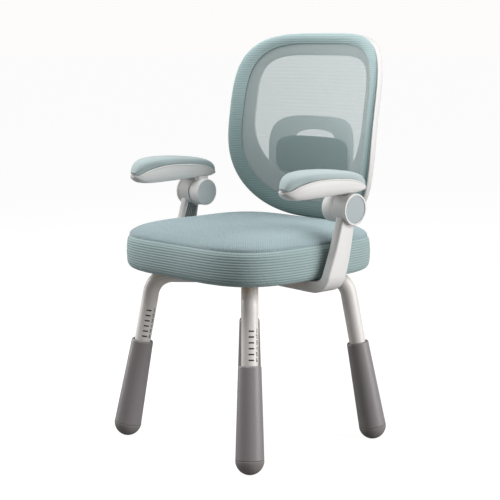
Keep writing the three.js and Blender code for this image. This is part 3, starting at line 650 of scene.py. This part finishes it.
def knitted_cover():
    """Level ribs on the side band, a diagonal weave on top, and a slightly fuzzy yarn, with painted
    shade in the hollows of the ribs and weave.
    """
    made, tree, shader = new_finish(
        "knitted_teal", 0.92, sheen_weight=0.35, sheen_roughness=0.45, specular_ior_level=0.2
    )
    where = place_of(tree)
    parts = step(tree, "SeparateXYZ", where).node.outputs
    x, y, z = parts["X"], parts["Y"], parts["Z"]
    wave = waves(tree, z, SIDE_RIB)
    ribs = sums(tree, "POWER", spread(tree, wave, -1, 1, 0, 1), 0.7)
    slanting = sums(tree, "ADD", x, y)
    stitches = waves(tree, slanting, STITCH)
    side = sums(tree, "MULTIPLY_ADD", stitches, 0.08, sums(tree, "MULTIPLY", ribs, 0.9))
    one = waves(tree, slanting, TOP_WEAVE)
    two = waves(tree, sums(tree, "SUBTRACT", x, y), TOP_WEAVE)
    diamonds = sums(tree, "MULTIPLY_ADD", sums(tree, "MULTIPLY", one, two), 0.28, 0.5)
    twill = sums(tree, "MULTIPLY_ADD", one, 0.18, diamonds)
    on_top = spread(tree, z, 0.3838, 0.3858, 0, 1)
    pattern = step(tree, "Mix", on_top, None, side, twill)
    yarn = cloudy(tree, where, 900, 5)
    height = sums(tree, "MULTIPLY_ADD", yarn, 0.25, pattern)
    wide = cloudy(tree, where, 7, 3)
    # Painted shade: the hollows of the ribs and weave are coloured darker than their crests; the yarn
    # noise adds random tone.
    shaded_hollows = two_tone(tree, wide, (0.240, 0.314, 0.313), (0.262, 0.340, 0.339))
    lit_crests = two_tone(tree, wide, (0.365, 0.474, 0.472), (0.393, 0.506, 0.504))
    shown = spread(tree, height, 0.0, 1.0, 0, 1)
    cast = two_tone(tree, on_top, (1.0, 1.0, 1.0), (0.915, 0.900, 0.955))
    coloured(tree, shader, tinted(tree, two_tone(tree, shown, shaded_hollows, lit_crests), cast))
    shader.inputs["Sheen Tint"].default_value = (0.75, 0.88, 0.9, 1)
    raise_surface(tree, shader, height, 0.55)
    return made


teal_cover = knitted_cover()
cushion = lofted("cushion_cover", seat_shape(), crease=180)
plumped(cushion, voxel=4.6, pressure=4.0, cap=4.0, held=above_board)
for vertex in cushion.data.vertices:
    x, y, z = vertex.co * 1000
    y -= SEAT_CENTRE_Y
    across, along = abs(x) / SEAT_HALF_WIDTH, abs(y) / SEAT_HALF_DEPTH
    reach = (across**SEAT_CORNER + along**SEAT_CORNER) ** (1 / SEAT_CORNER)
    if reach > 0.9:
        pull = SEAM_DEPTH * math.exp(-(((z - SEAT_SEAM) / SEAM_SPREAD) ** 2))
        away = Vector((x, y, 0)).normalized()
        vertex.co -= (away * 0.8 + Vector((0, 0, 0.45))) * pull * 0.001
shade(cushion, 60)
coat(cushion, teal_cover)
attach(cushion, "frame")
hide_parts("seat_cushion")


# ------------------------------------------------------------------ arm brackets
# Moulded white brackets, flat under the board and then up the outside of the cushion to a round
# hub. The post is hollowed on its inner face, where a dark ribbed insert lies.

HUB_Y = 31.4
HUB_Z = 447.6
HUB_SEAM = 190.3
HUB_OUTER_FACE = 224.4
HUB_INNER_FACE = 165.4
HUB_RADIUS = 27
HUB_RIM_RADIUS = 28
HUB_INNER_RADIUS = 25.6
HUB_FACETS = 72
POST_OUTER_FACE = 216.0
POST_THICKNESS = 18.5
BAR_BOTTOM = 303.0


def soft_box(u0, u1, v0, v1, radius, steps=5):
    """A rectangle with rounded corners, as (u, v) points."""
    made = []
    for cu, cv, start in ((u1, v1, 0), (u0, v1, 90), (u0, v0, 180), (u1, v0, 270)):
        mu = cu - radius if cu == u1 else cu + radius
        mv = cv - radius if cv == v1 else cv + radius
        for i in range(steps + 1):
            a = math.radians(start + 90 * i / steps)
            made.append((mu + radius * math.cos(a), mv + radius * math.sin(a)))
    return made


def smooth_line(points, per):
    """A smooth curve through points of any number of values, with per steps between each two."""
    made = []
    last = len(points) - 1
    for i in range(last):
        p0, p1, p2, p3 = (points[min(max(i + k, 0), last)] for k in (-1, 0, 1, 2))
        for s in range(per):
            t = s / per
            made.append(
                tuple(
                    0.5
                    * (
                        2 * b
                        + (c - a) * t
                        + (2 * a - 5 * b + 4 * c - d) * t * t
                        + (3 * b - a - 3 * c + d) * t**3
                    )
                    for a, b, c, d in zip(p0, p1, p2, p3)
                )
            )
    made.append(tuple(points[-1]))
    return made


def bracket_stations():
    """(x, z, angle, half thickness, y0, y1) along the bracket, from under the seat to the hub."""
    bar_top = 328.0
    skirt_top = SEAT_BOTTOM - 0.5
    flat = []
    for x, low, top, y0, y1 in (
        (90, BAR_BOTTOM + 3, bar_top, -61, -29),
        (93, BAR_BOTTOM + 1, bar_top, -63, -27),
        (98, BAR_BOTTOM, bar_top, -64, -26),
        (158, BAR_BOTTOM, bar_top, -68, -22),
        (167, BAR_BOTTOM, skirt_top, -69, -21),
    ):
        flat.append((x, (low + top) / 2, 0, (top - low) / 2, y0, y1))
    bend = 30.0
    round_corner = []
    for i in range(17):
        t = i / 16
        a = math.pi / 2 * t
        half = (skirt_top - BAR_BOTTOM) / 2 * (1 - t) + POST_THICKNESS / 2 * t
        reach = bend - half
        x = POST_OUTER_FACE - bend + reach * math.sin(a)
        z = BAR_BOTTOM + bend - reach * math.cos(a)
        round_corner.append((x, z, a, half, -69 + 10 * t, -21 + 9 * t))
    x = POST_OUTER_FACE - POST_THICKNESS / 2
    up = [(333, -59, -12), (352, -51, -6), (381, -39.5, 0.5), (418, -28, 7.5), (438, -22.5, 11.5)]
    post = [(x, z, math.pi / 2, POST_THICKNESS / 2, y0, y1) for z, y0, y1 in smooth_line(up, 5)[2:]]
    return flat + round_corner + post


def bracket_body(name):
    rings = []
    for x, z, angle, half, y0, y1 in bracket_stations():
        inward = (-math.sin(angle), math.cos(angle))
        ring = soft_box(-half, half, y0, y1, 4.2)
        rings.append([(x + inward[0] * n, HUB_Y + y, z + inward[1] * n) for n, y in ring])
    return lofted(name, rings)


def along_x():
    """Turns a lathe's upright axis to lie along X through the hub."""
    return Matrix.Translation((0, HUB_Y, HUB_Z)) @ Matrix.Rotation(math.pi / 2, 4, "Y")


def carve(piece, tool, operation):
    """Joins another shape to a piece, or cuts it away, and throws the tool away."""
    cutting = piece.modifiers.new("carve", "BOOLEAN")
    cutting.object = tool
    cutting.operation = operation
    cutting.solver = "EXACT"
    applied(piece)
    bpy.data.objects.remove(tool)


def mirror_copy(piece, name):
    """The same piece for the other side of the chair."""
    mesh = piece.data.copy()
    mesh.transform(Matrix.Diagonal((-1, 1, 1, 1)))
    mesh.flip_normals()
    other = bpy.data.objects.new(name, mesh)
    bpy.context.scene.collection.objects.link(other)
    return other


def pocket_tool():
    """The hollow's level foot, and its slanting head just under the drum."""
    rings = []
    for (y0, z0), (y1, z1) in (((-50.5, 340), (-14, 340)), ((-19.8, 427.5), (3, 418))):
        x0, x1 = POST_OUTER_FACE - POST_THICKNESS - 5, POST_OUTER_FACE - 10
        front, rear = HUB_Y + y0, HUB_Y + y1
        rings.append([(x0, front, z0), (x1, front, z0), (x1, rear, z1), (x0, rear, z1)])
    return lofted("pocket", rings)


liner_plastic = grained_plastic("liner_grey", (0.380, 0.395, 0.396), (0.420, 0.436, 0.437), 0.55)
bracket_plastic = grained_plastic(
    "white_plastic", (0.74, 0.727, 0.71), (0.775, 0.763, 0.75), 0.4, 0.03, 800
)
cap_seat = HUB_OUTER_FACE - 4.4
drum_profile = eased(
    [(0, HUB_SEAM + 0.2), (HUB_RADIUS, HUB_SEAM + 0.2), (HUB_RADIUS, cap_seat - 1)]
    + [(HUB_RIM_RADIUS, cap_seat + 0.2), (HUB_RIM_RADIUS, HUB_OUTER_FACE)]
    + [(24.6, HUB_OUTER_FACE), (24.6, cap_seat), (0, cap_seat)],
    0.7,
)
bracket = bracket_body("bracket_post_left")
carve(bracket, turned("drum", drum_profile, along_x(), HUB_FACETS), "UNION")
carve(bracket, pocket_tool(), "DIFFERENCE")
shade(bracket, 28)
coat(bracket, bracket_plastic)
for side, piece in (("left", bracket), ("right", mirror_copy(bracket, "bracket_post_right"))):
    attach(piece, "frame")
    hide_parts(f"arm_bracket_{side}")
    dress(f"bracket_liner_{side}", liner_plastic)
    dress(f"pivot_bolt_{side}", zinc)
    for number in (1, 2):
        dress(f"bracket_screw_{side}_{number}", zinc, 0.3)


# ------------------------------------------------------------------ hub caps
# Blue-grey moulded discs that snap into both ends of the hub and hide its pivot bolt.

cap_plastic = grained_plastic(
    "cap_blue_grey", (0.375, 0.425, 0.440), (0.405, 0.455, 0.470), 0.48, 0.04, 700
)
outer_cap_profile = eased(
    [(0, HUB_OUTER_FACE - 4.1), (24.3, HUB_OUTER_FACE - 4.1), (24.3, HUB_OUTER_FACE - 1.2)]
    + [(23.2, HUB_OUTER_FACE - 0.9), (0, HUB_OUTER_FACE - 0.6)],
    0.7,
)
inner_cap_profile = eased(
    [(0, 168.5), (23.1, 168.5), (23.1, 165.9), (22.2, HUB_INNER_FACE), (0, 165.2)], 0.5
)
pale_cap = grained_plastic(
    "cap_pale_grey", (0.530, 0.562, 0.570), (0.560, 0.592, 0.600), 0.48, 0.04, 700
)
for profile, plastic, cap_name, node_name, body in (
    (outer_cap_profile, cap_plastic, "cap_outside", "hub_cap_outer", "frame"),
    (inner_cap_profile, pale_cap, "cap_inside", "hub_cap_inner", "armrest"),
):
    cap = turned(f"{cap_name}_left", profile, along_x(), HUB_FACETS)
    coat(cap, plastic)
    for side, piece in (("left", cap), ("right", mirror_copy(cap, f"{cap_name}_right"))):
        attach(piece, body if body == "frame" else f"{body}_{side}")
        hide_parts(f"{node_name}_{side}")


# ------------------------------------------------------------------ armrests
# A white tray with a raised lip that sweeps along its side, an inner hub half that turns on the
# pivot, and a soft moulded pad set down inside the lip.

REST_X = 199.0
REST_Y = -23.3
REST_HALF_LENGTH = 104.0
REST_HALF_WIDTH = 27.0
REST_CORNER_FRONT = 2.6
REST_CORNER_REAR = 2.1
REST_STEPS = 56

# (place along the armrest from -1 at its front to 1 at its rear, height)
REST_BOTTOM = [(-1, 484), (-0.9, 476.5), (-0.78, 472.6), (-0.3, 473.3)]
REST_BOTTOM += [(0.2, 475), (0.78, 476), (0.9, 477.5), (1, 480)]
REST_LIP = [(-1, 488), (-0.92, 488.5), (-0.74, 497.5), (-0.4, 504.8)]
REST_LIP += [(0, 505), (0.4, 501.8), (0.7, 495), (1, 482.5)]
PAD_TOP = [(-1, 491), (-0.93, 505.5), (-0.84, 514), (-0.7, 518.6), (-0.5, 520.6), (-0.3, 521)]
PAD_TOP += [(0.1, 519.3), (0.55, 513.5), (0.82, 505), (0.93, 497), (1, 486)]


def height_at(line, t):
    """Smooth height along the armrest, from a short list of (place, height)."""
    i = 0
    while i < len(line) - 2 and t > line[i + 1][0]:
        i += 1
    p0, p1 = line[max(i - 1, 0)], line[i]
    p2, p3 = line[i + 1], line[min(i + 2, len(line) - 1)]
    s = min(max((t - p1[0]) / (p2[0] - p1[0]), 0), 1)
    slope_in = (p2[1] - p0[1]) / (p2[0] - p0[0]) * (p2[0] - p1[0])
    slope_out = (p3[1] - p1[1]) / (p3[0] - p1[0]) * (p2[0] - p1[0])
    near = 2 * s**3 - 3 * s**2 + 1
    leaving, arriving = (s**3 - 2 * s**2 + s) * slope_in, (s**3 - s**2) * slope_out
    return near * p1[1] + leaving + (1 - near) * p2[1] + arriving


def rest_stations(count):
    return [0.994 * math.sin(math.pi / 2 * (2 * i / count - 1)) for i in range(count + 1)]


def rest_half(t):
    corner = REST_CORNER_FRONT if t < 0 else REST_CORNER_REAR
    return REST_HALF_WIDTH * (1 - abs(t) ** corner) ** (1 / corner)


def tray_rings():
    rings = []
    for t in rest_stations(REST_STEPS):
        low, lip, half = height_at(REST_BOTTOM, t), height_at(REST_LIP, t), rest_half(t)
        side = [(0.0, low), (0.45, low + 0.1), (0.74, low + 1.5), (0.93, low + (lip - low) * 0.3)]
        side += [(0.99, low + (lip - low) * 0.65), (0.985, lip - 2.8)]
        bead = [(0.985, lip - 2.8), (1.005, lip - 2.3), (1.022, lip - 1.4)]
        bead += [(1.012, lip - 0.4), (0.985, lip)]
        side = smooth_line(side, 5)[:-1] + smooth_line(bead, 3)
        side += [(0.96, lip - 0.3), (0.95, lip - 1.0), (0.5, lip - 1.2)]
        right = [(REST_X + w * half, REST_Y + REST_HALF_LENGTH * t, z) for w, z in side]
        left = [(REST_X - w * half, REST_Y + REST_HALF_LENGTH * t, z) for w, z in side[:0:-1]]
        rings.append(right + left)
    return rings


def pad_rings():
    rings = []
    for t in rest_stations(REST_STEPS)[2:-2]:
        low = height_at(REST_LIP, t) + 0.2
        high = max(height_at(PAD_TOP, t), low + 2.5)
        half = rest_half(t) - 1.3
        rise = high - low
        tuck = min(max((-0.35 - t) / 0.4, 0), 1)
        tuck = tuck * tuck * (3 - 2 * tuck)
        side = [(0.94 - 0.2 * tuck, low), (0.985 - 0.13 * tuck, low + rise * 0.2)]
        side += [(0.985 - 0.03 * tuck, low + rise * 0.45), (0.92, low + rise * 0.74)]
        side += [(0.7, low + rise * 0.93), (0.35, low + rise * 0.99), (0.0, high)]
        right, left = [], []
        for w, z in smooth_line(side, 4):
            set_back = 4.5 * tuck * max(1 - (z - low) / (0.6 * rise), 0)
            right.append((REST_X + w * half, REST_Y + REST_HALF_LENGTH * t + set_back, z))
            left.append((REST_X - w * half, REST_Y + REST_HALF_LENGTH * t + set_back, z))
        rings.append(right + left[-2::-1])
    return rings


def foamed_skin():
    """The armrest pads' soft skin: matt, finely pebbled, in a pale blue-grey teal."""
    made, tree, shader = new_finish("pad_skin", 0.78, sheen_weight=0.15, specular_ior_level=0.3)
    where = place_of(tree)
    pebble = tree.nodes.new("ShaderNodeTexVoronoi")
    tree.links.new(where, pebble.inputs["Vector"])
    pebble.inputs["Scale"].default_value = 620
    wide = cloudy(tree, where, 12, 3)
    coloured(tree, shader, two_tone(tree, wide, (0.410, 0.490, 0.496), (0.455, 0.538, 0.543)))
    raise_surface(tree, shader, pebble.outputs["Distance"], 0.12)
    return made


tray = lofted("armrest_tray_left", tray_rings(), crease=40)
room_profile = [(0, HUB_SEAM - 0.2), (29.2, HUB_SEAM - 0.2), (29.2, 240), (0, 240)]
carve(tray, turned("room", room_profile, along_x(), HUB_FACETS), "DIFFERENCE")
neck_section = soft_box(174, HUB_SEAM - 0.2, HUB_Y - 12, HUB_Y + 12, 3)
neck = lofted("neck", [[(x, y, z) for x, y in neck_section] for z in (HUB_Z + 16, 478)])
carve(tray, neck, "UNION")
inner_drum_profile = eased(
    [(0, HUB_SEAM - 1.1), (HUB_INNER_RADIUS, HUB_SEAM - 1.1), (HUB_INNER_RADIUS, 166.9)]
    + [(24.4, HUB_INNER_FACE), (23.4, HUB_INNER_FACE), (23.4, 168.8), (0, 168.8)],
    0.5,
)
carve(tray, turned("inner drum", inner_drum_profile, along_x(), HUB_FACETS), "UNION")
shade(tray, 32)
coat(tray, bracket_plastic)
pad_skin = foamed_skin()
pad = lofted("armrest_pad_left", pad_rings(), crease=60)
coat(pad, pad_skin)
for side, tray_piece, pad_piece in (
    ("left", tray, pad),
    ("right", mirror_copy(tray, "armrest_tray_right"), mirror_copy(pad, "armrest_pad_right")),
):
    for piece, node_name, slot_name in (
        (tray_piece, f"armrest_shell_{side}", "white_plastic"),
        (pad_piece, f"arm_pad_{side}", "pad_fabric"),
    ):
        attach(piece, f"armrest_{side}")
        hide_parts(node_name)


# ------------------------------------------------------------------ back shell
# A moulded white ring that curls round the sitter and leans back, open in the middle. The cloth
# edging and the mesh are clipped to its front, and the bar from the seat is screwed to its foot.

BACK_MIDDLE_Z = 584.0
BACK_HALF_WIDTH = 186.5
BACK_UP = 169.0
BACK_DOWN = 182.3
BACK_POINTS = 224
BACK_CURL_RADIUS = 420
BACK_FOOT_Y = 151.7
BACK_LEAN = 0.2
BEND_Z = 520
BEND_REACH = 16
EDGING_SIDE = 23
EDGING_TOP = 17.5
EDGING_FOOT = 30
WINDOW_MIDDLE_Z = 595


def back_middle_y(z):
    return BACK_FOOT_Y + math.hypot(BEND_REACH, BACK_LEAN * (z - BEND_Z)) - BEND_REACH


def on_back(ring, behind):
    """Lays (x, z) points on the curled back, a distance behind the sitter's surface."""
    made = []
    for x, z in ring:
        curl = BACK_CURL_RADIUS - math.sqrt(BACK_CURL_RADIUS**2 - x * x)
        made.append((x, back_middle_y(z) - curl + behind, z))
    return made


def back_outline(share):
    """The back's edge, drawn in by a share of the edging's width."""
    ring = rounded_outline(
        BACK_POINTS,
        BACK_HALF_WIDTH - EDGING_SIDE * share,
        BACK_UP - EDGING_TOP * share,
        BACK_DOWN - EDGING_FOOT * share,
        corner_up=4.0,
        corner_down=2.7,
    )
    return [(x, BACK_MIDDLE_Z + up) for x, up in ring]


def smooth_loop(points, per):
    """A smooth closed curve through points."""
    n = len(points)
    turn = smooth_line([points[(i - 1) % n] for i in range(n + 3)], per)
    return turn[per : per * (n + 1)]


def shell_rings():
    window_edge = rounded_outline(BACK_POINTS, 142, 117, 125, corner_up=5, corner_down=2.3)
    window = [(x, WINDOW_MIDDLE_Z + up) for x, up in window_edge]
    section = [(0, 4.6), (0.04, 3.2), (0.2, 3.0), (0.6, 3.6), (0.97, 4.8), (1, 7.0), (0.97, 9.2)]
    section += [(0.62, 9.7), (0.56, 13), (0.5, 18.2), (0.3, 19.6), (0.14, 19.8)]
    section += [(0.02, 17.3), (-0.01, 10)]
    rings = []
    for share, behind in smooth_loop(section, 3):
        ring = [
            (x + (wx - x) * share, z + (wz - z) * share)
            for (x, z), (wx, wz) in zip(back_outline(0.03), window)
        ]
        rings.append(on_back(ring, behind))
    return rings


shell = lofted("back_ring", shell_rings(), shut=True, crease=50)
coat(shell, bracket_plastic)
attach(shell, "frame")
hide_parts("back_shell")
dress("back_bar", white_paint, 0.5)
for number in range(1, 5):
    dress(f"back_screw_{number}", zinc, 0.3)
for number in (1, 2):
    dress(f"bar_screw_{number}", zinc, 0.3)


# ------------------------------------------------------------------ back edging
# A padded roll of the same knit, with level ribs, that runs round the front of the shell.

EDGING_RIB = 3.4


def rim_rings():
    section = [(0, -0.5), (-0.01, -2.4), (0.1, -4.4), (0.38, -4.8), (0.68, -3.2)]
    section += [(0.9, -1.1), (1.02, 0.45), (0.5, 0.3)]
    return [on_back(back_outline(share), behind) for share, behind in smooth_loop(section, 3)]


def ribbed_edging():
    """Knit with broad level ribs and a little fuzz, painted darker low down and lighter up high, with
    painted shade in the rib hollows.
    """
    made, tree, shader = new_finish(
        "edging_teal", 0.92, sheen_weight=0.3, sheen_roughness=0.45, specular_ior_level=0.2
    )
    where = place_of(tree)
    z = step(tree, "SeparateXYZ", where).node.outputs["Z"]
    wave = waves(tree, z, EDGING_RIB)
    ribs = spread(tree, wave, -1, 1, 0, 1)
    yarn = cloudy(tree, where, 800, 5)
    height = sums(tree, "MULTIPLY_ADD", yarn, 0.35, sums(tree, "MULTIPLY", ribs, 0.75))
    # Painted light and shade: the roll is coloured darker towards its foot, where shade falls, and
    # lighter towards its top, where the light from above falls; the rib hollows are painted darker
    # than the crests.
    painted_light_by_height = spread(tree, z, 0.42, 0.72, 0, 1)
    shaded_hollows = two_tone(tree, painted_light_by_height, (0.128, 0.190, 0.188), (0.355, 0.474, 0.480))
    lit_crests = two_tone(tree, painted_light_by_height, (0.185, 0.265, 0.263), (0.500, 0.642, 0.650))
    coloured(tree, shader, two_tone(tree, height, shaded_hollows, lit_crests))
    raise_surface(tree, shader, height, 0.45)
    return made


edging = lofted("back_edging", rim_rings(), shut=True, crease=60)
edging_cloth = ribbed_edging()
coat(edging, edging_cloth)
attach(edging, "frame")
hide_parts("back_rim")


# ------------------------------------------------------------------ back mesh
# Elastic knitted mesh stretched over the ring, its edge held under the padded roll. Light passes
# through its small holes, so the ring and the lumbar pad show behind it.

MESH_ROWS = 6.8
HOLES_UP = 3.4
HOLES_ACROSS = 2.6


def shrunk(ring, middle_z, size):
    return [(x * size, middle_z + (z - middle_z) * size) for x, z in ring]


def panel_rings(ring, middle_z, front, rear, sizes):
    """A thin panel over the back's surface: in across the front, then out across the rear."""
    rings = [on_back(shrunk(ring, middle_z, size), front) for size in sizes[::-1]]
    return rings + [on_back(shrunk(ring, middle_z, size), rear) for size in sizes]


def open_mesh():
    """Rows of small holes between level threads; the threads keep most of the light."""
    made, tree, shader = new_finish(
        "open_mesh", 0.85, sheen_weight=0.2, sheen_roughness=0.5, specular_ior_level=0.2
    )
    where = place_of(tree)
    parts = step(tree, "SeparateXYZ", where).node.outputs
    x, z = parts["X"], parts["Z"]
    rows = waves(tree, z, MESH_ROWS)
    holes_up = waves(tree, z, HOLES_UP)
    holes_across = waves(tree, x, HOLES_ACROSS)
    net = sums(tree, "MULTIPLY", holes_up, holes_across)
    coverage = sums(tree, "MULTIPLY_ADD", net, 0.06, 0.36)
    coverage = sums(tree, "MULTIPLY_ADD", rows, 0.006, coverage)
    yarn = cloudy(tree, where, 700, 4)
    tree.links.new(coverage, shader.inputs["Alpha"])
    coloured(tree, shader, two_tone(tree, yarn, (0.330, 0.428, 0.430), (0.420, 0.525, 0.527)))
    raise_surface(tree, shader, sums(tree, "MULTIPLY_ADD", rows, 0.1, net), 0.2)
    return made


mesh_sizes = [1.0 - 0.92 * i / 22 for i in range(23)]
net_rings = panel_rings(back_outline(0.3), BACK_MIDDLE_Z, front=0.6, rear=1.8, sizes=mesh_sizes)
net = lofted("stretched_mesh", net_rings, crease=60)
coat(net, open_mesh())
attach(net, "frame")
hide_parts("back_mesh")


# ------------------------------------------------------------------ lumbar support
# A curved plate that slides in the back behind the mesh, with a half-moon grip, and a dark padded
# block on its front that presses through the mesh into the small of the sitter's back.

CARRIER_MIDDLE = 520.0
PAD_MIDDLE = 521.5
LUMBAR_RIB = 2.6
GRIP_HALF_WIDTH = 50
GRIP_LOW = 546
GRIP_HIGH = 559


def grip_tool():
    """The half-moon, swept front to back through the plate."""
    edge = [(-GRIP_HALF_WIDTH, GRIP_LOW), (GRIP_HALF_WIDTH, GRIP_LOW), (GRIP_HALF_WIDTH, GRIP_HIGH)]
    for i in range(1, 20):
        a = math.pi * i / 20
        edge.append((GRIP_HALF_WIDTH * math.cos(a), GRIP_HIGH + 12.5 * math.sin(a)))
    edge.append((-GRIP_HALF_WIDTH, GRIP_HIGH))
    return lofted("grip", [[(x, y, z) for x, z in edge] for y in (130, 200)])


def lumbar_cloth():
    """Dense dark knit on the lumbar pad, with painted shade in its rib hollows."""
    made, tree, shader = new_finish("lumbar_teal", 0.95, sheen_weight=0.25, specular_ior_level=0.2)
    where = place_of(tree)
    z = step(tree, "SeparateXYZ", where).node.outputs["Z"]
    wave = waves(tree, z, LUMBAR_RIB)
    yarn = cloudy(tree, where, 700, 5)
    height = sums(tree, "MULTIPLY_ADD", wave, 0.2, yarn)
    # Painted shade: the colour follows the rib height, so the rib hollows are darker; the yarn noise
    # adds random tone.
    coloured(tree, shader, two_tone(tree, height, (0.082, 0.142, 0.136), (0.145, 0.225, 0.214)))
    raise_surface(tree, shader, height, 0.4)
    return made


carrier_outline = rounded_outline(160, 112, 77, 58, corner_up=3.9, corner_down=3)
carrier_edge = [(x, CARRIER_MIDDLE + up) for x, up in carrier_outline]
plate_sizes = [1.0, 0.995, 0.97] + [0.9 - 0.82 * i / 8 for i in range(9)]
plate_rings = panel_rings(carrier_edge, CARRIER_MIDDLE, front=11.2, rear=14.2, sizes=plate_sizes)
carrier = lofted("lumbar_plate", plate_rings, crease=50)
carve(carrier, grip_tool(), "DIFFERENCE")
shade(carrier, 40)
carrier_plastic = grained_plastic(
    "lumbar_plate_plastic", (0.76, 0.785, 0.78), (0.80, 0.825, 0.82), 0.5
)
coat(carrier, carrier_plastic)
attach(carrier, "lumbar_support")
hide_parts("lumbar_carrier")

pad_outline = rounded_outline(120, 93, 37, 37, corner_up=4, corner_down=4)
pad_edge = [(x, PAD_MIDDLE + up) for x, up in pad_outline]
pad_section = [(0.06, 3.5), (0.4, 3.5), (0.7, 3.7), (0.88, 4.3), (0.96, 5.4), (1.0, 7.2)]
pad_section += [(0.985, 9.4), (0.95, 10.3), (0.5, 10.5), (0.06, 10.5)]
block_rings = []
for size, behind in smooth_line(pad_section, 3):
    block_rings.append(on_back(shrunk(pad_edge, PAD_MIDDLE, size), behind))
block = lofted("lumbar_block", block_rings, crease=60)
coat(block, lumbar_cloth())
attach(block, "lumbar_support")
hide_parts("lumbar_pad")


# ------------------------------------------------------------------ floor, light and camera
# A plain pale floor in a white room, a broad soft light on the sitter's left and weaker ones
# opposite and overhead. The camera stands in front, towards the sitter's left.


def plain_floor():
    """Pale paper. It looks brightly lit from above, but throws only a little light back up."""
    made, tree, shader = new_finish("pale_floor", 0.9, (0.22, 0.22, 0.22), specular_ior_level=0.0)
    shader.inputs["Emission Color"].default_value = (1, 1, 1, 1)
    seen = tree.nodes.new("ShaderNodeLightPath").outputs["Is Camera Ray"]
    tree.links.new(sums(tree, "MULTIPLY", seen, 0.92), shader.inputs["Emission Strength"])
    return made


FLOOR_HALF = 60000
corner_signs = ((-1, -1), (1, -1), (1, 1), (-1, 1))
floor_corners = [(x * FLOOR_HALF, y * FLOOR_HALF, -0.5) for x, y in corner_signs]
floor = mesh_piece("floor", floor_corners, [(0, 1, 2, 3)])
coat(floor, plain_floor())

scene = bpy.context.scene
world = bpy.data.worlds.new("white_room")
world.use_nodes = True
background = world.node_tree.nodes["Background"]
background.inputs["Color"].default_value = (1, 0.99, 0.975, 1)
seen_wall = world.node_tree.nodes.new("ShaderNodeLightPath").outputs["Is Camera Ray"]
wall_light = sums(world.node_tree, "MULTIPLY_ADD", seen_wall, 0.76, 0.22)
world.node_tree.links.new(wall_light, background.inputs["Strength"])
scene.world = world


def soft_light(name, place, aim, size, power):
    lamp = bpy.data.lights.new(name, "AREA")
    lamp.shape = "RECTANGLE"
    lamp.size, lamp.size_y = size
    lamp.energy = power
    holder = bpy.data.objects.new(name, lamp)
    holder.location = place
    holder.rotation_euler = (Vector(aim) - Vector(place)).to_track_quat("-Z", "Y").to_euler()
    scene.collection.objects.link(holder)


soft_light("side_light", (2.0, 1.05, 1.0), (0, 0, 0.40), (1.5, 2.0), 54)
soft_light("far_light", (-2.1, -0.85, 0.9), (0, 0, 0.35), (1.3, 1.8), 28)
soft_light("top_light", (-0.1, -0.6, 1.9), (0, 0.0, 0.45), (1.1, 0.9), 22)

LENS = 98.5
SENSOR_WIDTH = 36
CAMERA_AROUND = math.radians(46.4)
CAMERA_ABOVE = math.radians(8.7)
CAMERA_DISTANCE = 2.536
CAMERA_AIM = Vector((0, -0.0103, 0.3559))

camera = bpy.data.cameras.new("camera")
camera.lens = LENS
camera.sensor_width = SENSOR_WIDTH
stand = bpy.data.objects.new("camera", camera)
level = math.cos(CAMERA_ABOVE)
towards = Vector(
    (math.sin(CAMERA_AROUND) * level, -math.cos(CAMERA_AROUND) * level, math.sin(CAMERA_ABOVE))
)
stand.location = CAMERA_AIM + towards * CAMERA_DISTANCE
stand.rotation_euler = (-towards).to_track_quat("-Z", "Y").to_euler()
scene.collection.objects.link(stand)
scene.camera = stand
scene.view_settings.view_transform = "Standard"
